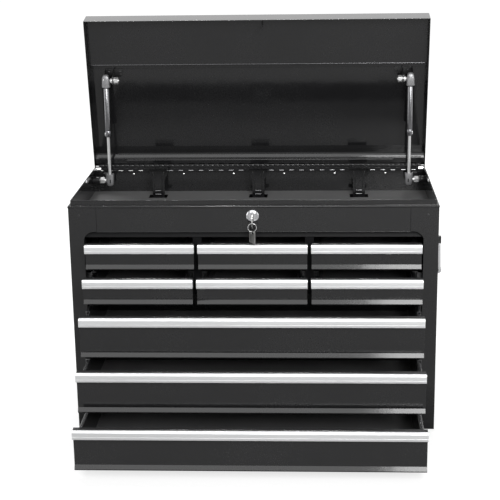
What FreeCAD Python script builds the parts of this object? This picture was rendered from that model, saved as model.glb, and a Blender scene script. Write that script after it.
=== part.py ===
import FreeCAD, Part
import math
import os

# Machinist tool chest: a sheet steel top chest with a tray under a hinged lid,
# six small drawers in two rows and three full width drawers below them.
# Millimetres, X to the right, Y to the back, Z up. The origin is the middle of
# the footprint of the case. The lid stands open and the drawers stand partly
# out, each by its own share, as the chest is shown.

os.makedirs("parts", exist_ok=True)
V = FreeCAD.Vector
X_AXIS = V(1, 0, 0)
Y_AXIS = V(0, 1, 0)
Z_AXIS = V(0, 0, 1)

# Case
case_width = 660.0
case_depth = 296.0
sheet = 1.0
post_width = 26.85
post_return = 22.0
rear_flange = 15.0
overrun = 5.0

# Rim round the tray
rim_inset = 4.1
rim_height = 9.3

# Header over the drawers and the rail behind its lower edge
header_height = 48.4
header_end = 50.0
header_recess = 9.0
rail_drop = 12.1
rail_end_gap = 1.15
gusset_bow_x_share = 0.31
gusset_bow_z_share = 0.73

# Base pan
base_height = 16.0
base_corner_rise = 4.0
base_lip = 12.0

# Tray, its floor above the lower edge of the header
tray_rise = 6.3
slot_width = 36.0
slot_length = 31.0
slot_rear_gap = 7.5

# Columns between the small drawers
column_thickness = 15.9
column_below = 2.0

# Drawer rows. Fronts and gaps stack up from the base pan to the rail.
bottom_gap = 2.0
wide_row_gap = 7.2
small_row_gap = 6.0
top_gap = 6.3
small_front = 45.6
wide_front = 72.4
front_lip_over_pull = 1.6
drawer_side_gap = 4.15
drawer_between_gap = 7.6
drawer_bar_gap = 13.0
drawer_floor_rise = 5.0
front_return = 8.0
strip_height = 7.2
strip_forward = 3.6
strip_edge = 1.9
bend_radius = 1.6

# Drawer walls, below the top of the pull
small_wall_drop = 6.2
wide_wall_drop = 8.4
wide_box_inset = 9.9

# Pulls
pull_height = 14.4
pull_depth = 8.0
pull_wall = 1.4
pull_skirt = 14.8
pull_round = 3.2
pull_overhang = 0.6

# How far each row stands out at rest, as a share of the depth of the case
row_open_shares = [0.0655, 0.1939, 0.3747, 0.5527, 0.747]

# Ball bearing slides
slide_thickness = 12.7
slide_sheet = 1.2
slide_over = 4.0
slide_flange = 9.4
small_slide_height = 30.0
wide_slide_height = 45.0
ball_gap = 1.7
ball_row_width = 3.0
ball_row_inset = 2.2
ball_row_fit = 0.4
small_slide_rise = 10.4
wide_slide_rise = 20.5
middle_web_gap = 2.2
inner_flange_gap = 1.4
standoff_length = 22.0
standoff_height = 18.0
standoff_inset = 14.0
mid_travel_share = 0.5

# Lid
lid_side_fit = 0.6
lid_gap = 0.6
lid_rise = 27.7
lid_back_over = 2.1
lid_open_angle = 79.4
lid_channel_reach = 93.0
lid_channel_depth = 12.0
lid_channel_flange = 11.0
lid_rear_channel = 16.0

# Piano hinge
hinge_end_gap = 7.5
knuckle_pitch = 10.0
knuckle_gap = 0.3
knuckle_radius = 2.9
hinge_pin_radius = 1.4
hinge_pin_fit = 0.05
hinge_leaf = 1.2
hinge_leaf_height = 26.0
hinge_clearance = 0.4
rivet_pitch = 100.0
rivet_count = 6
rivet_drop = 16.2
rivet_radius = 1.6
rivet_head_radius = 3.6
rivet_head = 1.4
rivet_fit = 0.05

# Gas struts
strut_foot_setback = 21.0
strut_foot_drop = 15.0
strut_head_behind = 28.9
strut_head_rise = 6.0
strut_rod_radius = 3.0
strut_tube_radius = 6.8
strut_tube_wall = 1.1
strut_tube_length = 98.0
strut_gland = 10.0
strut_fit = 0.05
piston_length = 8.0
piston_fit = 0.1
rod_in_tube = 24.0
socket_radius = 8.1
socket_neck = 13.0
socket_end = 12.0
socket_tip_radius = 4.2
ball_radius = 4.5
ball_clearance = 0.35
stud_radius = 3.0
nut_radius = 6.8
nut_length = 13.0
nut_socket_gap = 2.0
spacer_radius = 7.4
spacer_length = 10.9
stud_face_gap = 0.4
collar_radius = 4.6
collar_length = 5.5
lid_nut_length = 10.5
bracket_sheet = 2.0
bracket_web_margin = 8.0
bracket_foot_length = 14.0
bracket_foot_in = 15.0
bracket_foot_out = 15.0

# Lock
lock_drop = 19.0
lock_cap_radius = 11.5
lock_cap = 3.0
lock_barrel_radius = 9.5
lock_barrel_gap = 0.3
lock_barrel_length = 12.0
lock_nut_radius = 14.0
lock_nut = 4.0
plug_radius = 6.5
plug_fit = 0.06
plug_proud = 0.8
cam_length = 21.0
cam_width = 9.0
cam_sheet = 2.0
cam_nose = 10.0
cam_gap = 0.5
key_thickness = 2.0
key_height = 7.4
key_fit = 0.1
key_depth = 11.0
key_neck = 3.2
key_bow_radius = 11.0
key_hole_radius = 2.2
key_hole_edge = 1.6
ring_radius = 8.6
ring_wire = 0.7
ring_gap = 0.6
tag_width = 15.0
tag_thickness = 2.4
tag_hole_radius = 3.0
tag_hole_edge = 1.4
tag_gap = 0.8
tag_corner = 3.4
tag_clearance = 0.8
tag_turn_angle = 42.0
strike_sheet = 1.5
strike_length = 11.0
strike_offset = 10.5
strike_foot = 4.5
strike_clearance = 1.5
strike_slot_width = 5.0

# Lock bars behind the drawers
bar_spacing = 197.0
bar_setback = 37.0
bar_sheet = 1.5
bar_width = 24.0
bar_head_width = 38.0
bar_head = 12.0
bar_taper = 14.0
bar_over_rim = 4.8
bar_tab = 12.0
bar_travel = 10.0
bar_foot_below = 12.0
bar_ear = 7.0
hook_width = 10.0
hook_inset = 3.5
hook_sheet = 1.5
hook_gap = 2.0
hook_arm_gap = 0.5
tongue_width = 13.0
tongue_reach = 6.0
tongue_rise = 9.0
guide_clearance = 0.4
guide_height = 12.0
guide_rise = 9.4

# Side handles
handle_span = 130.0
handle_plate_sheet = 2.0
handle_plate_margin = 6.5
handle_pivot_drop = 83.0
handle_pivot_gap = 1.5
handle_drop = 64.0
handle_grip_radius = 6.4
handle_grip_gap = 0.7
handle_grip_end = 9.0
handle_arm_radius = 4.0
handle_pin_radius = 3.0
handle_pin_fit = 0.06
handle_pin_over = 0.5
lug_size = 13.0
lug_width = 8.0
lug_gap = 0.5
lug_wall = 1.0

# Rows, numbered from the top
small_row_count = 2
wide_row_count = 3
row_count = small_row_count + wide_row_count
SMALL_ROWS = list(range(small_row_count))
WIDE_ROWS = list(range(small_row_count, row_count))
LAST_SMALL_ROW = SMALL_ROWS[-1]
GUIDE_ROWS = [SMALL_ROWS[0], WIDE_ROWS[1]]
LAST_ROW = WIDE_ROWS[-1]


def front_height(row):
    if row in SMALL_ROWS:
        return small_front
    return wide_front


def wall_height(row):
    # Above the lower edge of the drawer's front.
    if row in SMALL_ROWS:
        return small_front - small_wall_drop
    return wide_front - wide_wall_drop


def row_pull_tops():
    # The height of the top of each pull, the top row first.
    tops = [base_height + bottom_gap + wide_front]
    for row in reversed(range(LAST_ROW)):
        gap = wide_row_gap if row + 1 in WIDE_ROWS and row in WIDE_ROWS else small_row_gap
        tops.insert(0, tops[0] + front_lip_over_pull + gap + front_height(row))
    return tops


PULL_TOPS = row_pull_tops()


def front_low(row):
    return PULL_TOPS[row] - front_height(row)


def drawer_wall_top(row):
    return front_low(row) + wall_height(row)


# Worked out places
half_width = case_width / 2
front_y = -case_depth / 2
back_y = case_depth / 2
ROW_OPEN = [case_depth * share for share in row_open_shares]
rail_low = PULL_TOPS[0] + top_gap
header_low = rail_low + rail_drop
case_height = header_low + header_height
wall_top = case_height - sheet
tray_z = header_low + tray_rise
rim_top = case_height + rim_height
base_corner_height = base_height + base_corner_rise
opening_half = half_width - post_width
rail_half = opening_half - rail_end_gap
gusset_x = half_width - header_end
rail_back = front_y + header_recess + sheet
bar_y = back_y - bar_setback
drawer_back = bar_y - drawer_bar_gap
slide_front = rail_back
slide_back = drawer_back + slide_over
hinge_y = back_y + knuckle_radius
hinge_z = rim_top
hinge_point = V(0, hinge_y, hinge_z)
wide_face_half = opening_half - drawer_side_gap
wide_box_half = wide_face_half - wide_box_inset
small_face_half = (wide_face_half - drawer_between_gap) / 3
column_spacing = 2 * small_face_half + drawer_between_gap
column_half = column_thickness / 2
column_x = column_spacing / 2
small_box_half = column_x - column_half - slide_thickness
lid_half = half_width - rim_inset + lid_side_fit + sheet
lid_low = case_height + lid_gap
lid_top = hinge_z + lid_rise
lid_back = hinge_y + lid_back_over
lid_inner_top = lid_top - sheet
hinge_length = 2 * (lid_half - hinge_end_gap)
channel_back = front_y + sheet + lid_channel_reach
strut_x = half_width - sheet - spacer_length - nut_length - nut_socket_gap - socket_radius
lock_height = case_height - lock_drop
plug_end = front_y + sheet + lock_barrel_length + cam_gap
key_bow_y = front_y - lock_cap - plug_proud - key_neck - key_bow_radius
handle_pivot_height = case_height - handle_pivot_drop
handle_pivot_x = half_width + handle_plate_sheet + handle_pivot_gap + handle_arm_radius
handle_grip_x = half_width + handle_plate_sheet + handle_grip_gap + handle_grip_radius
handle_grip_z = handle_pivot_height - handle_drop


def slide_half(row):
    if row in SMALL_ROWS:
        return small_slide_height / 2
    return wide_slide_height / 2


def slide_mid(row):
    if row in SMALL_ROWS:
        return front_low(row) + small_slide_rise + small_slide_height / 2
    return front_low(row) + wide_slide_rise + wide_slide_height / 2


# Small helpers
def box(x0, x1, y0, y1, z0, z1):
    return Part.makeBox(x1 - x0, y1 - y0, z1 - z0, V(x0, y0, z0))


def rod(radius, start, end):
    way = end - start
    return Part.makeCylinder(radius, way.Length, start, way)


def cone(radius_0, radius_1, start, end):
    way = end - start
    return Part.makeCone(radius_0, radius_1, way.Length, start, way)


def hexagon_prism(radius, start, end):
    way = end - start
    disc = Part.makePolygon(
        [V(radius * math.cos(k * math.pi / 3), radius * math.sin(k * math.pi / 3), 0) for k in range(7)]
    )
    prism = Part.Face(disc).extrude(V(0, 0, way.Length))
    prism.Placement = FreeCAD.Placement(start, FreeCAD.Rotation(Z_AXIS, way))
    return prism


def fuse(pieces):
    if len(pieces) == 1:
        return pieces[0]
    return pieces[0].multiFuse(pieces[1:]).removeSplitter()


def moved(shape, x=0, y=0, z=0):
    copy = shape.copy()
    copy.translate(V(x, y, z))
    return copy


def mirror_x(shape):
    return shape.mirror(V(0, 0, 0), X_AXIS)


def profile_edges(points, radii):
    # Straight runs with a tangent arc at each corner that has a radius.
    count = len(points)
    starts, mids, ends = [], [], []
    for k in range(count):
        corner, radius = points[k], radii[k]
        if not radius:
            starts.append(corner)
            mids.append(None)
            ends.append(corner)
            continue
        to_last = (points[k - 1] - corner).normalize()
        to_next = (points[(k + 1) % count] - corner).normalize()
        half = to_last.getAngle(to_next) / 2
        middle = (to_last + to_next).normalize()
        centre = corner + middle * (radius / math.sin(half))
        starts.append(corner + to_last * (radius / math.tan(half)))
        mids.append(centre - middle * radius)
        ends.append(corner + to_next * (radius / math.tan(half)))
    edges = []
    for k in range(count):
        if mids[k] is not None:
            edges.append(Part.Arc(starts[k], mids[k], ends[k]).toShape())
        edges.append(Part.LineSegment(ends[k], starts[(k + 1) % count]).toShape())
    return edges


def extruded(points, radii, way):
    wire = Part.Wire(profile_edges(points, radii))
    return Part.Face(wire).extrude(way)


def export(name, shape):
    shape.exportStep("parts/" + name + ".step")


# Case shell
def side_panel():
    # Left side: web, front post with its corner gusset, and rear flange.
    x0 = -half_width
    x_post = x0 + post_width
    web = box(x0, x0 + sheet, front_y + sheet, back_y - sheet, 0, wall_top)
    low = V(x0, front_y, base_corner_height)
    post_foot = V(x_post, front_y, base_corner_height)
    post_head = V(x_post, front_y, rail_low)
    bow_x = x_post + (header_end - post_width) * gusset_bow_x_share
    bow = V(bow_x, front_y, rail_low + rail_drop * gusset_bow_z_share)
    gusset = V(-gusset_x, front_y, header_low)
    top_in = V(-gusset_x, front_y, wall_top)
    top_out = V(x0, front_y, wall_top)
    edges = [
        Part.LineSegment(low, post_foot).toShape(),
        Part.LineSegment(post_foot, post_head).toShape(),
        Part.Arc(post_head, bow, gusset).toShape(),
        Part.LineSegment(gusset, top_in).toShape(),
        Part.LineSegment(top_in, top_out).toShape(),
        Part.LineSegment(top_out, low).toShape(),
    ]
    post = Part.Face(Part.Wire(edges)).extrude(V(0, sheet, 0))
    lip = box(x_post - sheet, x_post, front_y + sheet, front_y + post_return, base_corner_height, rail_low)
    rear_in = x0 + sheet + rear_flange
    rear = box(x0 + sheet, rear_in, back_y - 2 * sheet, back_y - sheet, base_corner_height, wall_top)
    return fuse([web, post, lip, rear])


def base_panel():
    # A pan with its edges turned up and a lip along the front.
    x_in = half_width - sheet
    y0 = front_y + sheet
    y1 = back_y - sheet
    outline = [
        V(-half_width, front_y, 0),
        V(half_width, front_y, 0),
        V(half_width, front_y, base_corner_height),
        V(opening_half, front_y, base_corner_height),
        V(opening_half, front_y, base_height),
        V(-opening_half, front_y, base_height),
        V(-opening_half, front_y, base_corner_height),
        V(-half_width, front_y, base_corner_height),
    ]
    front = extruded(outline, [0] * len(outline), V(0, sheet, 0))
    floor = box(-x_in, x_in, y0, y1, 0, sheet)
    left = box(-x_in, sheet - x_in, y0, y1, 0, base_height)
    right = box(x_in - sheet, x_in, y0, y1, 0, base_height)
    rear = box(-x_in, x_in, y1 - sheet, y1, 0, base_height)
    lip = box(-x_in, x_in, y0, y0 + base_lip, base_height - sheet, base_height)
    return fuse([front, floor, left, right, rear, lip])


def bar_guide(x, z):
    # A strap round a lock bar, welded to the back panel.
    half = bar_width / 2 + guide_clearance
    y0 = bar_y - guide_clearance
    y1 = bar_y + bar_sheet + guide_clearance
    y_back = back_y - sheet
    front = box(x - half - sheet, x + half + sheet, y0 - sheet, y0, z, z + guide_height)
    left = box(x - half - sheet, x - half, y0 - sheet, y_back, z, z + guide_height)
    right = box(x + half, x + half + sheet, y0 - sheet, y_back, z, z + guide_height)
    rest = box(x - half, x + half, y1, y1 + sheet, z, z + guide_height)
    return fuse([front, left, right, rest])


def bar_places():
    return [-bar_spacing, 0, bar_spacing]


def rivet_places():
    return [rivet_pitch * (k - (rivet_count - 1) / 2) for k in range(rivet_count)]


def back_panel():
    panel = box(-half_width, half_width, back_y - sheet, back_y, 0, wall_top)
    rivet_z = rim_top - rivet_drop
    for x in rivet_places():
        y0 = back_y - sheet - overrun
        hole = rod(rivet_radius + rivet_fit, V(x, y0, rivet_z), V(x, back_y + overrun, rivet_z))
        panel = panel.cut(hole)
    guides = []
    for x in bar_places():
        for row in GUIDE_ROWS:
            guides.append(bar_guide(x, front_low(row) + guide_rise))
    return fuse([panel] + guides)


def front_header():
    # The header face turns back at its lower edge and then down as a rail.
    y_in = front_y + sheet
    y_rail = front_y + header_recess
    face = box(-gusset_x, gusset_x, front_y, y_in, header_low, wall_top)
    shelf = box(-rail_half, rail_half, y_in, y_rail + sheet, header_low, header_low + sheet)
    rail = box(-rail_half, rail_half, y_rail, y_rail + sheet, rail_low, tray_z - sheet)
    centre = V(0, front_y - overrun, lock_height)
    hole = rod(lock_barrel_radius + lock_barrel_gap, centre, V(0, y_in + overrun, lock_height))
    return fuse([face, shelf, rail]).cut(hole)


def tray_floor():
    x_in = half_width - sheet
    y_back = back_y - sheet
    floor = box(-x_in, x_in, front_y + sheet, y_back, tray_z - sheet, tray_z)
    notch_x = x_in - rear_flange
    for side in (-1, 1):
        x_a, x_b = sorted([side * notch_x, side * (x_in + overrun)])
        notch = box(x_a, x_b, y_back - sheet, y_back + overrun, tray_z - sheet - overrun, tray_z + overrun)
        floor = floor.cut(notch)
    y1 = bar_y + bar_sheet + slot_rear_gap
    for x in bar_places():
        half = slot_width / 2
        cut = box(x - half, x + half, y1 - slot_length, y1, tray_z - sheet - overrun, tray_z + overrun)
        floor = floor.cut(cut)
    return floor


def top_rim():
    # The ledge that the lid closes on, and the rim that it closes round.
    x_rim = half_width - rim_inset
    y_rim = back_y - rim_inset
    x_in = x_rim - sheet
    y_in = y_rim - sheet
    ledge = box(-half_width, half_width, front_y, back_y, wall_top, case_height)
    wall = box(-x_rim, x_rim, -y_rim, y_rim, wall_top, rim_top)
    hole = box(-x_in, x_in, -y_in, y_in, wall_top - overrun, rim_top + overrun)
    return fuse([ledge, wall]).cut(hole)


def column(x):
    y0 = rail_back
    z0 = front_low(LAST_SMALL_ROW) - column_below
    z1 = tray_z - sheet
    shell = box(x - column_half, x + column_half, y0, back_y - sheet, z0, z1)
    x_in = column_half - sheet
    hollow = box(x - x_in, x + x_in, y0 + sheet, back_y + overrun, z0 - overrun, z1 - sheet)
    return shell.cut(hollow)


# Slides. Each section starts at x_web and opens along way (1 or -1).
def channel(x_web, way, z_mid, half, flange, y0, y1):
    x_skin = x_web + way * slide_sheet
    x_lip = x_web + way * flange
    web = box(min(x_web, x_skin), max(x_web, x_skin), y0, y1, z_mid - half, z_mid + half)
    x_low, x_high = min(x_web, x_lip), max(x_web, x_lip)
    top = box(x_low, x_high, y0, y1, z_mid + half - slide_sheet, z_mid + half)
    low = box(x_low, x_high, y0, y1, z_mid - half, z_mid - half + slide_sheet)
    return fuse([web, top, low])


def with_ball_rows(member, x_tip, way, z_mid, half):
    # A row of balls in its cage along each flange, near the tip of the flange.
    x_a = x_tip + way * ball_row_inset
    x_b = x_a + way * ball_row_width
    x_a, x_b = sorted([x_a, x_b])
    rise = ball_gap - ball_row_fit
    top = box(x_a, x_b, slide_front, slide_back, z_mid + half, z_mid + half + rise)
    low = box(x_a, x_b, slide_front, slide_back, z_mid - half - rise, z_mid - half)
    return fuse([member, top, low])


def middle_half(row):
    return slide_half(row) - slide_sheet - ball_gap


def inner_half(row):
    if row in SMALL_ROWS:
        return slide_half(row) - slide_sheet - ball_gap
    return middle_half(row) - slide_sheet - ball_gap


def outer_member(row, x_box, side):
    # x_box is the drawer's side face, side is 1 on its right and -1 on its left.
    x_web = x_box + side * slide_thickness
    return channel(x_web, -side, slide_mid(row), slide_half(row), slide_flange, slide_front, slide_back)


def inner_member(row, x_box, side):
    flange = slide_thickness - slide_sheet - inner_flange_gap
    if row in WIDE_ROWS:
        flange = flange - slide_sheet - middle_web_gap
    z_mid = slide_mid(row)
    half = inner_half(row)
    member = channel(x_box, side, z_mid, half, flange, slide_front, slide_back)
    return with_ball_rows(member, x_box + side * flange, -side, z_mid, half)


def middle_member(row, x_box, side):
    x_web = x_box + side * (slide_thickness - slide_sheet - middle_web_gap)
    flange = slide_flange - middle_web_gap
    z_mid = slide_mid(row)
    half = middle_half(row)
    member = channel(x_web, -side, z_mid, half, flange, slide_front, slide_back)
    return with_ball_rows(member, x_web - side * flange, side, z_mid, half)


def standoff(row, x_slide, side, y0):
    # A bent bracket from a slide to the side of the case.
    x_case = side * (half_width - sheet)
    z0 = slide_mid(row) - standoff_height / 2
    z1 = slide_mid(row) + standoff_height / 2
    x_a = x_slide + side * slide_sheet
    x_b = x_case - side * slide_sheet
    on_slide = box(min(x_slide, x_a), max(x_slide, x_a), y0, y0 + standoff_length, z0, z1)
    on_case = box(min(x_b, x_case), max(x_b, x_case), y0, y0 + standoff_length, z0, z1)
    bridge = box(min(x_slide, x_case), max(x_slide, x_case), y0, y0 + slide_sheet, z0, z1)
    return fuse([on_slide, on_case, bridge])


def drawer_centres(row):
    if row in SMALL_ROWS:
        return [-column_spacing, 0, column_spacing]
    return [0]


def box_half(row):
    if row in SMALL_ROWS:
        return small_box_half
    return wide_box_half


def slide_outers():
    solids = []
    for row in SMALL_ROWS + WIDE_ROWS:
        for x in drawer_centres(row):
            for side in (-1, 1):
                x_box = x + side * box_half(row)
                member = outer_member(row, x_box, side)
                by_case = row in WIDE_ROWS or x * side > 0
                if by_case:
                    x_slide = x_box + side * slide_thickness
                    front = standoff(row, x_slide, side, slide_front + standoff_inset)
                    rear = standoff(row, x_slide, side, slide_back - standoff_inset - standoff_length)
                    member = fuse([member, front, rear])
                solids.append(member)
    return Part.makeCompound(solids)


# Drawers, built closed and then drawn out
def drawer_front(row, x, face_half):
    z_top = PULL_TOPS[row] + front_lip_over_pull
    z_low = front_low(row)
    y0 = front_y
    y_fore = front_y - strip_forward
    y_in = front_y + sheet
    y_back = front_y + front_return
    z_bend = z_low + strip_edge + strip_height
    bend = strip_forward / strip_height * sheet / 2
    x0 = x - face_half
    points = [
        V(x0, y_back, z_top),
        V(x0, y0, z_top),
        V(x0, y0, z_bend),
        V(x0, y_fore, z_low + strip_edge),
        V(x0, y_fore, z_low),
        V(x0, y_back, z_low),
        V(x0, y_back, z_low + sheet),
        V(x0, y_fore + sheet, z_low + sheet),
        V(x0, y_fore + sheet, z_low + strip_edge - bend),
        V(x0, y_in, z_bend - bend),
        V(x0, y_in, z_top - sheet),
        V(x0, y_back, z_top - sheet),
    ]
    radii = [0] * len(points)
    radii[1] = bend_radius
    radii[10] = bend_radius - sheet
    skin = extruded(points, radii, V(2 * face_half, 0, 0))
    left = box(x0, x0 + sheet, y0 + sheet / 2, y_back, z_bend, z_top - sheet / 2)
    right = moved(left, 2 * face_half - sheet)
    return [skin, left, right]


def drawer_box(row, x):
    half = box_half(row)
    z0 = front_low(row) + drawer_floor_rise - sheet
    z1 = drawer_wall_top(row)
    y0 = front_y + sheet
    outer = box(x - half, x + half, y0, drawer_back, z0, z1)
    x_in = half - sheet
    y1 = drawer_back - sheet
    inner = box(x - x_in, x + x_in, y0 + sheet, y1, z0 + sheet, z1 + overrun)
    face_half = small_face_half if row in SMALL_ROWS else wide_face_half
    shell = fuse([outer.cut(inner)] + drawer_front(row, x, face_half))
    return moved(shell, 0, -ROW_OPEN[row])


def drawer_pull(row, x):
    face_half = small_face_half if row in SMALL_ROWS else wide_face_half
    x0 = x - face_half - pull_overhang
    y0 = front_y
    y1 = front_y - pull_depth
    z1 = PULL_TOPS[row]
    z0 = z1 - pull_height
    z_skirt = z1 - pull_skirt
    points = [
        V(x0, y0, z1),
        V(x0, y1, z1),
        V(x0, y1, z_skirt),
        V(x0, y1 + pull_wall, z_skirt),
        V(x0, y1 + pull_wall, z1 - pull_wall),
        V(x0, y0 - pull_wall, z1 - pull_wall),
        V(x0, y0 - pull_wall, z0),
        V(x0, y0, z0),
    ]
    radii = [0, pull_round, 0, 0, pull_round - pull_wall, 0, 0, 0]
    bar = extruded(points, radii, V(2 * (face_half + pull_overhang), 0, 0))
    return moved(bar, 0, -ROW_OPEN[row])


def drawer_runners(row, x):
    half = box_half(row)
    pair = [inner_member(row, x + side * half, side) for side in (-1, 1)]
    return moved(Part.makeCompound(pair), 0, -ROW_OPEN[row])


def middle_runners(row):
    pair = [middle_member(row, side * box_half(row), side) for side in (-1, 1)]
    return moved(Part.makeCompound(pair), 0, -ROW_OPEN[row] * mid_travel_share)


# Lid, built closed and then swung open about the hinge
def opened(shape):
    copy = shape.copy()
    copy.rotate(hinge_point, X_AXIS, -lid_open_angle)
    return copy


def lid_shell():
    x_in = lid_half - sheet
    y_in = front_y + sheet
    outer = box(-lid_half, lid_half, front_y, lid_back, lid_low, lid_top)
    inner = box(-x_in, x_in, y_in, lid_back - sheet, lid_low - overrun, lid_inner_top)
    clear = knuckle_radius + hinge_clearance
    y_cut = lid_back - sheet - overrun
    under = box(-x_in, x_in, y_cut, lid_back + overrun, lid_low - overrun, hinge_z + clear)
    shell = outer.cut(inner).cut(under)
    z_flange = hinge_z + knuckle_radius
    y_wall = hinge_y - lid_rear_channel
    flange = box(-x_in, x_in, y_wall, hinge_y - clear, z_flange, z_flange + sheet)
    wall = box(-x_in, x_in, y_wall, y_wall + sheet, z_flange, lid_inner_top)
    return fuse([shell, flange, wall])


def lid_channel():
    # A shallow pan inside the front of the lid that stiffens it.
    x_in = lid_half - sheet
    y0 = front_y + sheet
    y1 = y0 + lid_channel_reach
    z1 = lid_inner_top
    z0 = z1 - lid_channel_depth
    face = box(-x_in, x_in, y0, y1, z0, z0 + sheet)
    front = box(-x_in, x_in, y0, y0 + sheet, z0, z1)
    step = box(-x_in, x_in, y1 - sheet, y1, z0, z1)
    flange = box(-x_in, x_in, y1 - sheet, y1 + lid_channel_flange, z1 - sheet, z1)
    return fuse([face, front, step, flange, strike(z0)])


def strike(z_top):
    # The tab that hangs from the lid beside the lock, slotted for the cam.
    y_mid = plug_end + cam_sheet / 2
    nose_low = lock_height + cam_length - cam_width
    nose_high = lock_height + math.hypot(cam_length, cam_width / 2 + cam_nose)
    z_slot = nose_low - strike_clearance
    y0 = y_mid - strike_length / 2
    x0 = strike_offset
    tab = box(x0, x0 + strike_sheet, y0, y0 + strike_length, z_slot - strike_foot, z_top)
    y_slot = y_mid - strike_slot_width / 2
    x_a = x0 - overrun
    x_b = x0 + strike_sheet + overrun
    hole = box(x_a, x_b, y_slot, y_slot + strike_slot_width, z_slot, nose_high + strike_clearance)
    return tab.cut(hole)


# Piano hinge
def knuckle_places():
    count = int(hinge_length / knuckle_pitch)
    return [(k - count / 2) * knuckle_pitch for k in range(count)]


def knuckle(x, bore):
    start = V(x + knuckle_gap / 2, hinge_y, hinge_z)
    end = V(x + knuckle_pitch - knuckle_gap / 2, hinge_y, hinge_z)
    return rod(knuckle_radius, start, end), rod(bore, start - V(overrun, 0, 0), end + V(overrun, 0, 0))


def hinge_half(first, bore, plate, tongue):
    # tongue(x0, x1) joins one knuckle to the plate.
    pieces = [plate]
    holes = []
    for k, x in enumerate(knuckle_places()):
        if k % 2 != first:
            continue
        tube, hole = knuckle(x, bore)
        pieces.append(tube)
        pieces.append(tongue(x + knuckle_gap / 2, x + knuckle_pitch - knuckle_gap / 2))
        holes.append(hole)
    return fuse(pieces).cut(Part.makeCompound(holes))


def hinge_leaf_case():
    clear = knuckle_radius + hinge_clearance
    z0 = hinge_z - hinge_leaf_height
    y1 = back_y + hinge_leaf
    half = hinge_length / 2
    plate = box(-half, half, back_y, y1, z0, hinge_z - clear)
    rivet_z = rim_top - rivet_drop
    for x in rivet_places():
        start = V(x, back_y - overrun, rivet_z)
        plate = plate.cut(rod(rivet_radius, start, V(x, y1 + overrun, rivet_z)))

    def tongue(x0, x1):
        return box(x0, x1, back_y, y1, hinge_z - clear - sheet, hinge_z)

    leaf = hinge_half(0, hinge_pin_radius, plate, tongue)
    x_pin = knuckle_places()[0]
    pin = rod(hinge_pin_radius, V(x_pin, hinge_y, hinge_z), V(-x_pin, hinge_y, hinge_z))
    rivets = []
    for x in rivet_places():
        y_in = back_y - sheet
        shank = rod(rivet_radius, V(x, y_in, rivet_z), V(x, y1, rivet_z))
        head = cone(rivet_head_radius, rivet_radius, V(x, y_in, rivet_z), V(x, y_in - rivet_head, rivet_z))
        tail = rod(rivet_head_radius, V(x, y1, rivet_z), V(x, y1 + sheet, rivet_z))
        rivets.append(fuse([shank, head, tail]))
    return Part.makeCompound([leaf, pin] + rivets)


def hinge_leaf_lid():
    clear = knuckle_radius + hinge_clearance
    z1 = hinge_z + knuckle_radius
    z0 = z1 - hinge_leaf
    half = hinge_length / 2
    plate = box(-half, half, hinge_y - lid_rear_channel, hinge_y - clear, z0, z1)

    def tongue(x0, x1):
        return box(x0, x1, hinge_y - clear - sheet, hinge_y, z0, z1)

    return hinge_half(1, hinge_pin_radius + hinge_pin_fit, plate, tongue)


# Gas struts. The foot is on the case, the head is on the lid.
def strut_head_closed():
    return V(0, channel_back + strut_head_behind, hinge_z + strut_head_rise)


def strut_head_open():
    point = Part.Vertex(strut_head_closed())
    point.rotate(hinge_point, X_AXIS, -lid_open_angle)
    return point.Point


STRUT_FOOT = V(0, back_y - strut_foot_setback, case_height - strut_foot_drop)
STRUT_HEAD = strut_head_open()
STRUT_LENGTH = (STRUT_HEAD - STRUT_FOOT).Length


def along_strut(shape, x):
    # Places a shape built up the Z axis from the foot along the strut.
    copy = shape.copy()
    turn = FreeCAD.Rotation(Z_AXIS, STRUT_HEAD - STRUT_FOOT)
    copy.Placement = FreeCAD.Placement(V(x, STRUT_FOOT.y, STRUT_FOOT.z), turn)
    return copy


def socket_body():
    # An end fitting, its pivot at the origin and its neck up.
    neck = rod(socket_radius, V(0, 0, -socket_radius / 2), V(0, 0, socket_neck))
    tip = cone(socket_tip_radius, socket_radius, V(0, 0, -socket_end), V(0, 0, -socket_radius / 2))
    return fuse([neck, tip])


def strut_rod(side):
    # The left rod, or the same one mirrored.
    ball = Part.makeSphere(ball_radius + ball_clearance)
    mouth = rod(stud_radius + ball_clearance, V(0, 0, 0), V(-socket_radius - overrun, 0, 0))
    socket = socket_body().cut(ball).cut(mouth)
    top = STRUT_LENGTH - socket_neck - strut_tube_length + rod_in_tube
    bar = rod(strut_rod_radius, V(0, 0, socket_neck), V(0, 0, top))
    bore = strut_tube_radius - strut_tube_wall
    piston = rod(bore - piston_fit, V(0, 0, top - piston_length), V(0, 0, top))
    left = along_strut(fuse([socket, bar, piston]), -strut_x)
    return left if side < 0 else mirror_x(left)


def strut_tube(side):
    z1 = STRUT_LENGTH - socket_neck
    z0 = z1 - strut_tube_length
    tube = rod(strut_tube_radius, V(0, 0, z0), V(0, 0, z1))
    bore = rod(strut_tube_radius - strut_tube_wall, V(0, 0, z0 + strut_gland), V(0, 0, z1 - strut_tube_wall))
    hole = rod(strut_rod_radius + strut_fit, V(0, 0, z0 - overrun), V(0, 0, z0 + strut_gland + overrun))
    socket = socket_body()
    socket.rotate(V(0, 0, 0), X_AXIS, 180)
    socket = moved(socket, 0, 0, STRUT_LENGTH)
    return along_strut(fuse([tube.cut(bore).cut(hole), socket]), side * strut_x)


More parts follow.
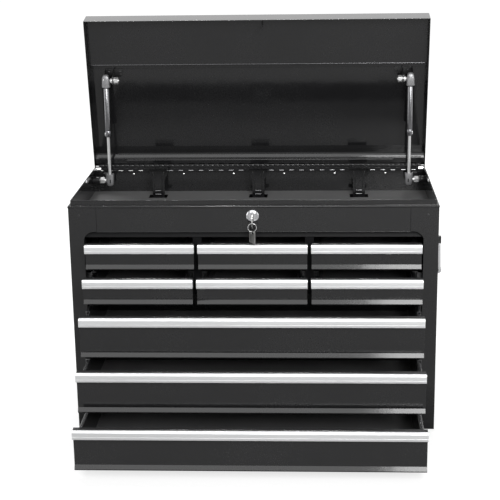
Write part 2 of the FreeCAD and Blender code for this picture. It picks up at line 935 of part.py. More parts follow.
def case_studs():
    foot = STRUT_FOOT
    x_nut = -strut_x - socket_radius - nut_socket_gap
    x_spacer = x_nut - nut_length
    ball_at = V(-strut_x, foot.y, foot.z)
    nut_at = V(x_nut, foot.y, foot.z)
    spacer_at = V(x_spacer, foot.y, foot.z)
    ball = Part.makeSphere(ball_radius, ball_at)
    shank = rod(stud_radius, ball_at, nut_at)
    nut = hexagon_prism(nut_radius, nut_at, spacer_at)
    spacer = rod(spacer_radius, spacer_at, V(sheet - half_width, foot.y, foot.z))
    left = fuse([ball, shank, nut, spacer])
    return Part.makeCompound([left, mirror_x(left)])


def lid_studs():
    # A bent bracket on the lid, with the stud that meets the side of the head.
    solids = []
    head = strut_head_closed()
    z1 = lid_inner_top
    y0 = channel_back + lid_channel_flange
    y_web = head.y + bracket_web_margin
    for side in (-1, 1):
        x_face = side * (strut_x - socket_radius - stud_face_gap)
        x_collar = x_face - side * collar_length
        x_plate = x_collar - side * bracket_sheet
        x_nut = x_plate - side * lid_nut_length
        x_a, x_b = sorted([x_collar, x_plate])
        web = box(x_a, x_b, y0, y_web, head.z - bracket_web_margin, z1)
        x_a, x_b = sorted([x_plate - side * bracket_foot_in, x_collar + side * bracket_foot_out])
        foot = box(x_a, x_b, y0, y0 + bracket_foot_length, z1 - bracket_sheet, z1)
        nut = hexagon_prism(nut_radius, V(x_nut, head.y, head.z), V(x_plate, head.y, head.z))
        collar = rod(collar_radius, V(x_collar, head.y, head.z), V(x_face, head.y, head.z))
        solids.append(opened(fuse([web, foot, nut, collar])))
    return Part.makeCompound(solids)


# Lock in the header
def lock_housing():
    y_cap = front_y - lock_cap
    y_end = front_y + sheet + lock_barrel_length
    cap = rod(lock_cap_radius, V(0, y_cap, lock_height), V(0, front_y, lock_height))
    barrel = rod(lock_barrel_radius, V(0, front_y, lock_height), V(0, y_end, lock_height))
    y_nut = front_y + sheet
    nut = hexagon_prism(lock_nut_radius, V(0, y_nut, lock_height), V(0, y_nut + lock_nut, lock_height))
    start = V(0, y_cap - overrun, lock_height)
    bore = rod(plug_radius + plug_fit, start, V(0, y_end + overrun, lock_height))
    return fuse([cap, barrel, nut]).cut(bore)


def lock_plug():
    y0 = front_y - lock_cap - plug_proud
    y1 = plug_end
    plug = rod(plug_radius, V(0, y0, lock_height), V(0, y1, lock_height))
    half = key_thickness / 2 + key_fit
    tall = key_height / 2 + key_fit
    slot = box(-half, half, y0 - overrun, y0 + key_depth, lock_height - tall, lock_height + tall)
    arm_half = cam_width / 2
    arm = box(-cam_length, arm_half, y1, y1 + cam_sheet, lock_height - arm_half, lock_height + arm_half)
    nose_x = cam_width - cam_length
    nose = box(-cam_length, nose_x, y1, y1 + cam_sheet, lock_height, lock_height + arm_half + cam_nose)
    return fuse([plug.cut(slot), arm, nose])


def key_hole_place():
    z_hole = lock_height - key_bow_radius + key_hole_edge + key_hole_radius
    return V(0, key_bow_y, z_hole)


def key():
    y_face = front_y - lock_cap - plug_proud
    half = key_thickness / 2
    tall = key_height / 2
    y_tip = y_face + key_depth - key_fit
    blade = box(-half, half, key_bow_y, y_tip, lock_height - tall, lock_height + tall)
    bow = rod(key_bow_radius, V(-half, key_bow_y, lock_height), V(half, key_bow_y, lock_height))
    hole_at = key_hole_place()
    reach = V(half + overrun, 0, 0)
    hole = rod(key_hole_radius, hole_at - reach, hole_at + reach)
    return fuse([blade, bow]).cut(hole)


def key_ring():
    # The ring hangs in the hole of the key, and a flat tag hangs on the ring.
    top = key_hole_place() - V(0, 0, key_hole_radius - ring_wire - ring_gap)
    centre = top - V(0, 0, ring_radius)
    ring = Part.makeTorus(ring_radius, ring_wire, centre, Y_AXIS)
    low = centre - V(0, 0, ring_radius)
    hole_at = low - V(0, 0, tag_hole_radius - ring_wire - tag_gap)
    z1 = hole_at.z + tag_hole_radius + tag_hole_edge
    z0 = PULL_TOPS[0] + front_lip_over_pull + tag_clearance
    x0 = -tag_thickness / 2
    wide = tag_width / 2
    corners = [
        V(x0, hole_at.y - wide, z0),
        V(x0, hole_at.y + wide, z0),
        V(x0, hole_at.y + wide, z1),
        V(x0, hole_at.y - wide, z1),
    ]
    plate = extruded(corners, [tag_corner] * len(corners), V(tag_thickness, 0, 0))
    reach = V(tag_thickness / 2 + overrun, 0, 0)
    hole = rod(tag_hole_radius, hole_at - reach, hole_at + reach)
    tag = plate.cut(hole)
    tag.rotate(hole_at, Z_AXIS, tag_turn_angle)
    return Part.makeCompound([ring, tag])


# Lock bars
def lock_bar(x):
    z1 = rim_top + bar_over_rim
    z_head = z1 - bar_head
    z_neck = z_head - bar_taper
    half = bar_width / 2
    wide = bar_head_width / 2
    y0 = bar_y
    y1 = bar_y + bar_sheet
    bar_foot = drawer_wall_top(LAST_ROW) - bar_foot_below
    outline = [
        V(x - half, y0, bar_foot),
        V(x + half, y0, bar_foot),
        V(x + half, y0, z_neck),
        V(x + wide, y0, z_head),
        V(x + wide, y0, z1),
        V(x - wide, y0, z1),
        V(x - wide, y0, z_head),
        V(x - half, y0, z_neck),
    ]
    plate = extruded(outline, [0] * len(outline), V(0, bar_sheet, 0))
    tab = box(x - wide, x + wide, y0 - bar_tab, y1, z1 - bar_sheet, z1)
    ear = box(x + wide - bar_sheet, x + wide, y0 - bar_tab, y0, z1 - bar_ear, z1)
    z_tongue = tray_z + tongue_rise
    tongue_half = tongue_width / 2
    tongue = box(x - tongue_half, x + tongue_half, y0 - tongue_reach, y0, z_tongue, z_tongue + bar_sheet)
    tip_y = y0 - tongue_reach
    tip = box(x - tongue_half, x + tongue_half, tip_y, tip_y + bar_sheet, z_tongue - tongue_reach, z_tongue)
    pieces = [plate, tab, ear, tongue, tip]
    for row in SMALL_ROWS + WIDE_ROWS:
        z_tip = drawer_wall_top(row) + hook_gap
        z_arm = drawer_wall_top(row) + bar_travel + hook_arm_gap
        hook_half = hook_width / 2
        y_tip = drawer_back - sheet - hook_inset - hook_sheet
        arm = box(x - hook_half, x + hook_half, y_tip, y0, z_arm, z_arm + hook_sheet)
        nib = box(x - hook_half, x + hook_half, y_tip, y_tip + hook_sheet, z_tip, z_arm)
        pieces.extend([arm, nib])
    return fuse(pieces)


# Side handles
def handle_mounts():
    x0 = half_width
    x1 = x0 + handle_plate_sheet
    lug_start = handle_span / 2 + handle_arm_radius + lug_gap
    y_half = lug_start + lug_width + handle_plate_margin
    z1 = handle_pivot_height + lug_size / 2 + handle_plate_sheet
    z_low = handle_grip_z - handle_grip_radius - handle_plate_margin
    plate = box(x0, x1, -y_half, y_half, z_low, z1)
    x_lug = handle_pivot_x + handle_pin_radius + lug_wall
    z0 = handle_pivot_height - lug_size / 2
    pieces = [plate]
    holes = []
    for end in (-1, 1):
        y_a, y_b = sorted([end * lug_start, end * (lug_start + lug_width)])
        pieces.append(box(x1, x_lug, y_a, y_b, z0, z0 + lug_size))
        start = V(handle_pivot_x, y_a - overrun, handle_pivot_height)
        finish = V(handle_pivot_x, y_b + overrun, handle_pivot_height)
        holes.append(rod(handle_pin_radius + handle_pin_fit, start, finish))
    right = fuse(pieces).cut(Part.makeCompound(holes))
    return Part.makeCompound([right, mirror_x(right)])


def handle():
    # The right hand bail: two pins, two arms and a grip.
    y_arm = handle_span / 2
    y_pin = y_arm + handle_arm_radius + lug_gap + lug_width + handle_pin_over
    pieces = []
    for end in (-1, 1):
        top = V(handle_pivot_x, end * y_arm, handle_pivot_height)
        low = V(handle_grip_x, end * y_arm, handle_grip_z)
        pieces.append(rod(handle_arm_radius, top, low))
        pieces.append(Part.makeSphere(handle_arm_radius, top))
        pieces.append(Part.makeSphere(handle_arm_radius, low))
        pieces.append(rod(handle_pin_radius, top, V(handle_pivot_x, end * y_pin, handle_pivot_height)))
    bar_start = V(handle_grip_x, -y_arm, handle_grip_z)
    bar_end = V(handle_grip_x, y_arm, handle_grip_z)
    pieces.append(rod(handle_arm_radius, bar_start, bar_end))
    grip_reach = V(0, y_arm - handle_grip_end, 0)
    middle = V(handle_grip_x, 0, handle_grip_z)
    pieces.append(rod(handle_grip_radius, middle - grip_reach, middle + grip_reach))
    return fuse(pieces)


SMALL_NAMES = ["left", "centre", "right"]


def export_all():
    left = side_panel()
    export("side_left", left)
    export("side_right", mirror_x(left))
    export("base_panel", base_panel())
    export("back_panel", back_panel())
    export("front_header", front_header())
    export("tray_floor", tray_floor())
    export("top_rim", top_rim())
    export("column_left", column(-column_x))
    export("column_right", column(column_x))
    export("slide_outers", slide_outers())
    export("hinge_leaf_case", hinge_leaf_case())
    export("hinge_leaf_lid", opened(hinge_leaf_lid()))
    export("lid_shell", opened(lid_shell()))
    export("lid_channel", opened(lid_channel()))
    export("lid_studs", lid_studs())
    export("case_studs", case_studs())
    for side, name in ((-1, "left"), (1, "right")):
        export("strut_rod_" + name, strut_rod(side))
        export("strut_tube_" + name, strut_tube(side))
    export("lock_housing", lock_housing())
    export("lock_plug", lock_plug())
    export("key", key())
    export("key_ring", key_ring())
    for k, x in enumerate(bar_places()):
        export("lock_bar_" + str(k + 1), lock_bar(x))
    export("handle_mounts", handle_mounts())
    export("handle_right", handle())
    export("handle_left", mirror_x(handle()))
    for row in SMALL_ROWS + WIDE_ROWS:
        centres = drawer_centres(row)
        for k, x in enumerate(centres):
            name = "drawer_" + str(row + 1)
            if len(centres) > 1:
                name = name + "_" + SMALL_NAMES[k]
            export(name + "_box", drawer_box(row, x))
            export(name + "_pull", drawer_pull(row, x))
            export(name + "_runners", drawer_runners(row, x))
        if row in WIDE_ROWS:
            export("slide_middle_" + str(row + 1), middle_runners(row))


export_all()
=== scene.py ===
import bpy
import bmesh
import math
from mathutils import Matrix, Vector

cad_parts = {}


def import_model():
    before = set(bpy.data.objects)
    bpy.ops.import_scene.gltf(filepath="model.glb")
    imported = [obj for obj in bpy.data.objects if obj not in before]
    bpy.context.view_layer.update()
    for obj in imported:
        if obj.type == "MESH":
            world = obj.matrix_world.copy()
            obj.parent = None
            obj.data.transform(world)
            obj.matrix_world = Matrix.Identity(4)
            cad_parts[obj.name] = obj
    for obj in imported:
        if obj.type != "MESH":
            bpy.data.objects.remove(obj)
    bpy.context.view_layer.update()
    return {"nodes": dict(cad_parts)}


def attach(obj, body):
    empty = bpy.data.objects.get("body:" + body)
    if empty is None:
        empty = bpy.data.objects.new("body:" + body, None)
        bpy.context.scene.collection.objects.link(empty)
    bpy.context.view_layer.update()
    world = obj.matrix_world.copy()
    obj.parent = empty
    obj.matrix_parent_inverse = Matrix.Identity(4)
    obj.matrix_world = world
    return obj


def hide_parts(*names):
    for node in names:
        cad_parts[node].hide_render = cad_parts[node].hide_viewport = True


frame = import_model()
MM = 0.001

# Places in mm, as in the part's source
CASE_DEPTH = 296.0
CASE_HALF_WIDTH = 330.0
FRONT_Y = -CASE_DEPTH / 2
SMALL_ROWS, ROWS = 2, 5
PULL_TOPS = [359.2, 306.0, 252.8, 171.6, 90.4]
FRONT_LOW = [313.6, 260.4, 180.4, 99.2, 18.0]
WALL_TOPS = [353.0, 299.8, 244.4, 163.2, 82.0]
OPEN_SHARES = [0.0655, 0.1939, 0.3747, 0.5527, 0.747]
SMALL_FACE, WIDE_FACE, SPACING = 97.1333, 299.0, 201.8667
SMALL_BOX, WIDE_BOX = 80.2833, 289.1
HINGE = Vector((0, 150.9, 435.3))
LID_ANGLE = math.radians(79.4)
OPEN_LID = Matrix.Rotation(-LID_ANGLE, 3, "X")
SIDES = (("left", -1), ("right", 1))


class Drawer:
    """A drawer's name, row and middle, with half widths of its front and box, and how far it is open."""

    def __init__(self, name, row, x):
        self.name, self.row, self.x = name, row, x
        self.small = row < SMALL_ROWS
        self.half_face = SMALL_FACE if self.small else WIDE_FACE
        self.half_box = SMALL_BOX if self.small else WIDE_BOX
        self.open = CASE_DEPTH * OPEN_SHARES[row]


def all_drawers():
    for row in range(ROWS):
        if row < SMALL_ROWS:
            for k, place in enumerate(("left", "centre", "right")):
                yield Drawer("drawer_%d_%s" % (row + 1, place), row, (k - 1) * SPACING)
        else:
            yield Drawer("drawer_%d" % (row + 1), row, 0.0)


DRAWERS = list(all_drawers())

# Materials
NOISE_LOW, NOISE_HIGH = 0.3, 0.7
NOISE_ROUGHNESS = 0.55
LEAST_ROUGHNESS = 0.02
WAVE_SCALE = 22.0


def noise(nt, coord, scale, detail):
    mapping = nt.nodes.new("ShaderNodeMapping")
    mapping.inputs["Scale"].default_value = scale
    nt.links.new(coord, mapping.inputs["Vector"])
    texture = nt.nodes.new("ShaderNodeTexNoise")
    texture.inputs["Scale"].default_value = 1.0
    texture.inputs["Detail"].default_value = detail
    texture.inputs["Roughness"].default_value = NOISE_ROUGHNESS
    nt.links.new(mapping.outputs["Vector"], texture.inputs["Vector"])
    return texture.outputs["Fac"]


def math_node(nt, operation, *values):
    node = nt.nodes.new("ShaderNodeMath")
    node.operation = operation
    for socket, value in zip(node.inputs, values):
        if isinstance(value, (int, float)):
            socket.default_value = value
        else:
            nt.links.new(value, socket)
    return node.outputs[0]


def map_range(nt, value, source, target, interpolation="LINEAR"):
    node = nt.nodes.new("ShaderNodeMapRange")
    node.interpolation_type = interpolation
    node.inputs["From Min"].default_value, node.inputs["From Max"].default_value = source
    node.inputs["To Min"].default_value, node.inputs["To Max"].default_value = target
    nt.links.new(value, node.inputs["Value"])
    return node.outputs["Result"]


def bump(nt, height, distance, normal=None):
    node = nt.nodes.new("ShaderNodeBump")
    node.inputs["Strength"].default_value = 1.0
    node.inputs["Distance"].default_value = distance
    nt.links.new(height, node.inputs["Height"])
    if normal is not None:
        nt.links.new(normal, node.inputs["Normal"])
    return node.outputs["Normal"]


def material(name, color, metallic=0.0, rough=0.4, specular=0.5, vary=0.12, grain=(400, 400, 400),
             grain_depth=0.00003, rough_span=0.08, patch=12.0, wave=0.0):
    """Patches of colour and gloss, a grain in the bump and, on sheet metal, long soft waves."""
    mat = bpy.data.materials.new(name)
    mat.use_nodes = True
    nt = mat.node_tree
    bsdf = nt.nodes["Principled BSDF"]
    bsdf.inputs["Metallic"].default_value = metallic
    bsdf.inputs["Specular IOR Level"].default_value = specular
    coord = nt.nodes.new("ShaderNodeTexCoord").outputs["Object"]
    patches = noise(nt, coord, (patch, patch, patch), 4.0)
    grains = noise(nt, coord, grain, 2.0)

    ramp = nt.nodes.new("ShaderNodeValToRGB")
    dark, light = ramp.color_ramp.elements
    dark.position, light.position = NOISE_LOW, NOISE_HIGH
    dark.color = (*[c * (1 - vary) for c in color], 1)
    light.color = (*[min(1.0, c * (1 + vary)) for c in color], 1)
    half_patches = math_node(nt, "MULTIPLY", patches, 0.5)
    nt.links.new(math_node(nt, "MULTIPLY_ADD", grains, 0.5, half_patches), ramp.inputs["Fac"])
    nt.links.new(ramp.outputs["Color"], bsdf.inputs["Base Color"])

    rough_range = (max(LEAST_ROUGHNESS, rough - rough_span / 2), rough + rough_span / 2)
    nt.links.new(map_range(nt, patches, (NOISE_LOW, NOISE_HIGH), rough_range), bsdf.inputs["Roughness"])
    normal = None
    if wave:
        normal = bump(nt, noise(nt, coord, (WAVE_SCALE, WAVE_SCALE, WAVE_SCALE), 1.0), wave)
    nt.links.new(bump(nt, grains, grain_depth, normal), bsdf.inputs["Normal"])
    return mat


PAINT = material("black_paint", (0.01275, 0.01275, 0.0135), rough=0.1, specular=0.5, grain=(420, 420, 420),
                 grain_depth=0.000022, rough_span=0.05, patch=9, vary=0.25, wave=0.00016)
SATIN = material("black_satin", (0.0165, 0.0165, 0.01725), rough=0.3, specular=0.6, grain=(700, 700, 700),
                 grain_depth=0.00004, patch=14, vary=0.2)
SHADE = material("black_shade", (0.00675, 0.00675, 0.0075), rough=0.42, specular=0.18,
                 grain=(700, 700, 700), patch=16, vary=0.25)
LINER = material("drawer_liner", (0.195, 0.195, 0.198), rough=0.6, specular=0.22, grain=(900, 900, 900),
                 grain_depth=0.00005, patch=11, vary=0.14)
TRAY = material("tray_paint", (0.1725, 0.1725, 0.174), rough=0.36, specular=0.38, grain=(60, 900, 900),
                patch=10, vary=0.16, wave=0.0002)
PULL = material("aluminium_pull", (0.83, 0.835, 0.84), metallic=1.0, rough=0.48, grain=(4, 900, 900),
                grain_depth=0.000006, rough_span=0.05, patch=7, vary=0.03)
ZINC = material("zinc_slide", (0.15, 0.15, 0.153), metallic=1.0, rough=0.3, grain=(160, 14, 160),
                grain_depth=0.00004, rough_span=0.16, patch=45, vary=0.16)
CAGE = material("slide_cage", (0.06, 0.06, 0.063), metallic=1.0, rough=0.36, grain=(600, 600, 600), patch=60)
BALL = material("slide_ball", (0.6, 0.6, 0.615), metallic=1.0, rough=0.1, grain=(900, 900, 900),
                grain_depth=0.000005, rough_span=0.04, patch=80, vary=0.05)
STEEL = material("grey_steel", (0.51, 0.51, 0.525), metallic=1.0, rough=0.26, grain=(500, 500, 500),
                 patch=90, vary=0.2)
RIVET = material("rivet_steel", (0.95, 0.95, 0.95), metallic=1.0, rough=0.2, grain=(700, 700, 700),
                 patch=200, vary=0.08)
CHROME = material("lock_chrome", (0.63, 0.63, 0.645), metallic=1.0, rough=0.16, grain=(900, 900, 900),
                  grain_depth=0.00001, rough_span=0.06, patch=60, vary=0.07)
KEY = material("key_steel", (0.3, 0.3, 0.2925), metallic=1.0, rough=0.34, grain=(900, 900, 120),
               rough_span=0.12, patch=120, vary=0.2)
ROD = material("strut_rod", (0.88, 0.88, 0.88), metallic=0.5, rough=0.16, grain=(900, 900, 60),
               grain_depth=0.00001, rough_span=0.05, patch=50, vary=0.04)
TUBE = material("strut_tube", (0.21, 0.21, 0.2175), metallic=1.0, rough=0.2, grain=(700, 700, 90),
                grain_depth=0.00002, patch=50, vary=0.1)
SOCKET = material("strut_socket", (0.315, 0.315, 0.3225), metallic=0.55, rough=0.36, grain=(520, 520, 520),
                  grain_depth=0.00016, patch=160, vary=0.3)
# Matte white for a real small dome on the rim's inside, so that it shows as a bright dot: a painted glint.
GLINT_WHITE = material("rim_dot_glint", (0.95, 0.95, 0.95), rough=0.45, specular=0.4, grain=(900, 900, 900),
                 patch=200, vary=0.06)
STUD = material("zinc_stud", (0.86, 0.86, 0.86), metallic=0.65, rough=0.2, grain=(500, 500, 500),
                rough_span=0.1, patch=120, vary=0.1)
BAIL = material("handle_bail", (0.825, 0.825, 0.84), metallic=1.0, rough=0.22, grain=(600, 60, 600),
                rough_span=0.1, patch=50, vary=0.06)

# Mesh building
CAD_EDGE_ANGLE, BUILT_EDGE_ANGLE = 50, 42
WELD_DISTANCE = 0.02 * MM


def round_edges(obj, width, segments, angle):
    mod = obj.modifiers.new("edges", "BEVEL")
    mod.width = width * MM
    mod.segments = segments
    mod.limit_method = "ANGLE"
    mod.angle_limit = math.radians(angle)
    mod.use_clamp_overlap = False
    mod.harden_normals = True


def arc(cy, cz, r, a0, a1, steps):
    angles = [math.radians(a0 + (a1 - a0) * k / steps) for k in range(steps + 1)]
    return [(cy + r * math.cos(a), cz + r * math.sin(a)) for a in angles]


def oval(cy, cz, ry, rz, steps, start=0.0):
    angles = [2 * math.pi * k / steps + start for k in range(steps)]
    return [(cy + ry * math.cos(a), cz + rz * math.sin(a)) for a in angles]


def at_x(x, outline):
    return [(x, y, z) for y, z in outline]


class Build:
    """Collects shapes in mm, each in its material or the build's own, and makes one object of them."""

    def __init__(self, own):
        self.own = own
        self.verts, self.faces, self.mats = [], [], []

    def add(self, verts, faces, mat=None):
        n = len(self.verts)
        self.verts += [Vector(p) for p in verts]
        self.faces += [tuple(i + n for i in face) for face in faces]
        self.mats += [mat or self.own] * len(faces)

    def lathe(self, profile, at, way, mat=None, steps=40):
        """profile is (distance along way, radius) from one end to the other."""
        way = Vector(way).normalized()
        side = way.orthogonal().normalized()
        other = way.cross(side)
        verts, rings, faces = [], [], []
        for s, r in profile:
            centre = Vector(at) + way * s
            if r == 0:
                rings.append([len(verts)])
                verts.append(centre)
                continue
            rings.append(list(range(len(verts), len(verts) + steps)))
            for k in range(steps):
                t = 2 * math.pi * k / steps
                verts.append(centre + side * (r * math.cos(t)) + other * (r * math.sin(t)))
        for a, b in zip(rings, rings[1:]):
            if len(a) == 1 and len(b) == 1:
                continue
            for k in range(steps):
                j = (k + 1) % steps
                if len(a) == 1:
                    faces.append((a[0], b[j], b[k]))
                elif len(b) == 1:
                    faces.append((a[k], a[j], b[0]))
                else:
                    faces.append((a[k], a[j], b[j], b[k]))
        self.add(verts, faces, mat)

    def loft(self, sections, mat=None):
        """Closed loops with the same number of points, joined one to the next, with both ends closed."""
        n = len(sections[0])
        verts = [p for loop in sections for p in loop]
        faces = []
        for s in range(len(sections) - 1):
            a, b = s * n, (s + 1) * n
            faces += [(a + k, a + (k + 1) % n, b + (k + 1) % n, b + k) for k in range(n)]
        last = (len(sections) - 1) * n
        faces += [tuple(reversed(range(n))), tuple(range(last, last + n))]
        self.add(verts, faces, mat)

    def prism(self, points, way, mat=None):
        """points is a closed planar outline, pushed along way."""
        start = [Vector(p) for p in points]
        self.loft([start, [p + Vector(way) for p in start]], mat)

    def holed(self, outer, inner, way, mat=None):
        """A flat plate with one hole: both outlines have the same number of points."""
        n = len(outer)
        verts = [Vector(p) for p in outer + inner]
        verts += [v + Vector(way) for v in verts]
        faces = []
        for k in range(n):
            j = (k + 1) % n
            for a, b in ((0, n), (2 * n, 3 * n), (0, 2 * n), (n, 3 * n)):
                faces.append((a + k, a + j, b + j, b + k))
        self.add(verts, faces, mat)

    def block(self, x0, x1, y0, y1, z0, z1, mat=None):
        self.prism([(x0, y0, z0), (x1, y0, z0), (x1, y1, z0), (x0, y1, z0)], (0, 0, z1 - z0), mat)

    def nut(self, at, way, radius, length):
        """A hexagon with turned corners at both ends."""
        chamfer, neck, hole = 1.0, radius * 0.84, radius * 0.62
        half = [(0.0, 0.0), (0.0, hole), (0.0, neck), (chamfer, radius)]
        self.lathe(half + [(length - s, r) for s, r in reversed(half)], at, way, steps=6)

    def dome(self, at, way, radius, height, mat=None, steps=20):
        """A rivet head, let in a little way at its foot."""
        sunk = -0.4
        rise = [(height * math.sin(math.radians(a)), radius * math.cos(math.radians(a)))
                for a in (0, 20, 40, 60, 78)]
        self.lathe([(sunk, 0.0), (sunk, radius)] + rise + [(height, 0.0)], at, way, mat, steps)

    def sweep(self, path, radius, mat=None, steps=10, closed=False):
        """A round wire along path, with one radius or with one for each point."""
        points = [Vector(p) for p in path]
        n = len(points)
        radii = radius if isinstance(radius, list) else [radius] * n
        verts, faces = [], []
        side = None
        for k, p in enumerate(points):
            ahead, behind = (k + 1) % n, k - 1
            if not closed:
                ahead, behind = min(k + 1, n - 1), max(k - 1, 0)
            way = (points[ahead] - points[behind]).normalized()
            side = (way.orthogonal() if side is None else side - way * side.dot(way)).normalized()
            other = way.cross(side)
            for j in range(steps):
                t = 2 * math.pi * j / steps
                verts.append(p + side * (radii[k] * math.cos(t)) + other * (radii[k] * math.sin(t)))
        for k in range(n if closed else n - 1):
            a, b = k * steps, ((k + 1) % n) * steps
            for j in range(steps):
                i = (j + 1) % steps
                faces.append((a + j, a + i, b + i, b + j))
        if not closed:
            faces += [tuple(reversed(range(steps))), tuple(range((n - 1) * steps, n * steps))]
        self.add(verts, faces, mat)

    def turn(self, about, rotation, start=0):
        for k in range(start, len(self.verts)):
            self.verts[k] = about + rotation @ (self.verts[k] - about)

    def open_with_lid(self):
        self.turn(HINGE, OPEN_LID)

    def make(self, name, body, replaces=(), bevel=0.0, segments=2, smooth=38):
        mesh = bpy.data.meshes.new(name)
        mesh.from_pydata([p * MM for p in self.verts], [], self.faces)
        mats = list(dict.fromkeys(self.mats))
        for mat in mats:
            mesh.materials.append(mat)
        mesh.polygons.foreach_set("material_index", [mats.index(mat) for mat in self.mats])
        bm = bmesh.new()
        bm.from_mesh(mesh)
        bmesh.ops.recalc_face_normals(bm, faces=bm.faces)
        bm.to_mesh(mesh)
        bm.free()
        mesh.polygons.foreach_set("use_smooth", [True] * len(mesh.polygons))
        mesh.set_sharp_from_angle(angle=math.radians(smooth))
        obj = bpy.data.objects.new(name, mesh)
        bpy.context.scene.collection.objects.link(obj)
        if bevel:
            round_edges(obj, bevel, segments, BUILT_EDGE_ANGLE)
        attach(obj, body)
        if replaces:
            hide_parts(*replaces)


# CAD nodes that stay, with a material and softened edges
def dress(nodes, mat, bevel):
    for node in nodes:
        obj = frame["nodes"][node]
        obj.data.materials.clear()
        obj.data.materials.append(mat)
        obj.modifiers.new("weld", "WELD").merge_threshold = WELD_DISTANCE
        if bevel:
            round_edges(obj, bevel, 2, CAD_EDGE_ANGLE)


dress(["back_panel"], PAINT, 0)
dress(["side_left", "side_right", "base_panel", "front_header", "top_rim", "lid_shell", "lid_channel"],
      PAINT, 0.45)
dress(["column_left", "column_right"], SHADE, 0.4)
dress(["hinge_leaf_case", "hinge_leaf_lid"], PAINT, 0.2)
dress(["tray_floor"], TRAY, 0.3)
dress([drawer.name + "_box" for drawer in DRAWERS], PAINT, 0.35)
dress(["lock_bar_1", "lock_bar_2", "lock_bar_3"], PAINT, 0.5)
dress(["handle_mounts"], SATIN, 0.6)
dress(["slide_outers"], ZINC, 0.25)
dress(["lock_plug"], CHROME, 0.35)

# Drawers
PULL_OVERHANG, PULL_DEPTH, PULL_HEIGHT, PULL_WALL, PULL_CURVE = 0.6, 8.0, 14.8, 1.4, 3.2
PULL_GROOVE, GROOVE_DEPTH = 9.3, 0.35
PULL_LEG = 14.4
HEM_RADIUS, HEM_BEND, HEM_BACK = 0.85, 3.0, 97.5
WALL_MIDDLE, FRONT_SHEET = 0.5, 1.2
LINER_GAP, LINER_LIFT, LINER_FRONT, LINER_BACK = 1.1, 5.02, 2.6, 96.2
LINER_THICK, LINER_RISE = 0.6, 2.4


def pull(drawer):
    """The extruded pull: a curved cap, a grooved face, a skirt with a round tip and a leg at the back."""
    back, top = FRONT_Y - drawer.open, PULL_TOPS[drawer.row]
    face, skirt, groove = back - PULL_DEPTH, top - PULL_HEIGHT, top - PULL_GROOVE
    inside, leg = face + PULL_WALL, back - PULL_WALL
    bend = (face + PULL_CURVE, top - PULL_CURVE)
    outline = [(back, top)] + arc(*bend, PULL_CURVE, 90, 180, 8)
    outline += [(face, groove), (face + GROOVE_DEPTH, groove - 0.3),
                (face + GROOVE_DEPTH, groove - 0.7), (face, groove - 1.0)]
    outline += [(face, skirt + 1.0), (face + 0.25, skirt + 0.3), (face + PULL_WALL / 2, skirt)]
    outline += [(inside - 0.25, skirt + 0.2), (inside, skirt + 0.8), (inside, top - PULL_CURVE - 1.0)]
    outline += arc(*bend, PULL_CURVE - PULL_WALL, 180, 90, 6)
    outline += [(leg - 0.5, top - PULL_WALL), (leg, top - PULL_WALL - 0.5), (leg, top - PULL_LEG + 0.5),
                (leg + 0.5, top - PULL_LEG), (back, top - PULL_LEG)]
    half = drawer.half_face + PULL_OVERHANG
    build = Build(PULL)
    build.prism(at_x(drawer.x - half, outline), (2 * half, 0, 0))
    build.make(drawer.name + "_pull_bar", drawer.name, [drawer.name + "_pull"],
               bevel=0.15, segments=1, smooth=30)


def hem(drawer):
    """The rolled edge along the top of the drawer's walls."""
    wall, z = drawer.half_box - WALL_MIDDLE, WALL_TOPS[drawer.row] - WALL_MIDDLE
    front, back = FRONT_Y + FRONT_SHEET - drawer.open, HEM_BACK - drawer.open
    near, bent = 0.9, HEM_BEND
    half = [(wall, front), (wall, back - bent), (wall - near, back - near), (wall - bent, back)]
    path = [(drawer.x - u, y, z) for u, y in half] + [(drawer.x + u, y, z) for u, y in reversed(half)]
    build = Build(PAINT)
    build.sweep(path, HEM_RADIUS)
    build.make(drawer.name + "_hem", drawer.name)


def liner(drawer):
    """A thin mat on the drawer's floor, its edges turned up a little."""
    half = drawer.half_box - LINER_GAP
    right = [(half, 0.0), (half, LINER_RISE), (half - 0.5, LINER_RISE), (half - 0.9, 1.1),
             (half - 1.8, LINER_THICK)]
    outline = right + [(-u, v) for u, v in reversed(right)]
    z = FRONT_LOW[drawer.row] + LINER_LIFT
    build = Build(LINER)
    build.loft([[(drawer.x + u, y - drawer.open, z + v) for u, v in outline]
                for y in (FRONT_Y + LINER_FRONT, LINER_BACK)])
    build.make(drawer.name + "_liner", drawer.name)


for drawer in DRAWERS:
    pull(drawer)
    hem(drawer)
    liner(drawer)

# Slides
SLIDE_FRONT, SLIDE_BACK = -138.0, 102.0
SLIDE_THICK, SLIDE_SHEET = 12.7, 1.2
SMALL_SLIDE_HALF, WIDE_SLIDE_HALF = 15.0, 22.5
SMALL_SLIDE_MIDDLE, WIDE_SLIDE_MIDDLE = 25.4, 43.0
MEMBER_STEP = 2.9
MIDDLE_GAP = 2.2
SMALL_FLANGE, WIDE_FLANGE, MIDDLE_FLANGE = 10.1, 6.7, 7.2
BALL_RADIUS, BALL_SPACING, BALL_START, BALL_ROW_INSET, BALL_ROW_LIFT = 0.8, 12, 8, 3.7, 0.65
CAGE_HALF_WIDTH, CAGE_HALF_THICK, CAGE_END = 1.4, 0.3, 4
# Bright steel wires along the flange edges paint the highlights there.
FLANGE_GLINT_RADIUS, FLANGE_GLINT_INSET = 0.42, 0.4


def slide_section(build, x_web, way, z_mid, half, flange, y0, y1):
    """A slide member: a web with rolled flanges that bend to grip the balls."""
    t = SLIDE_SHEET
    outer = [(0, half - 1.6), (0.5, half - 0.5), (1.6, half), (flange - 1.2, half), (flange, half - 0.5)]
    inner = [(flange - 0.2, half - t - 0.35), (flange - 1.3, half - t), (1.9, half - t), (t, half - t - 0.8)]
    upper = outer + inner
    loop = upper + [(u, -v) for u, v in reversed(upper)]
    build.loft([[(x_web + way * u, y, z_mid + v) for u, v in loop] for y in (y0, y1)])


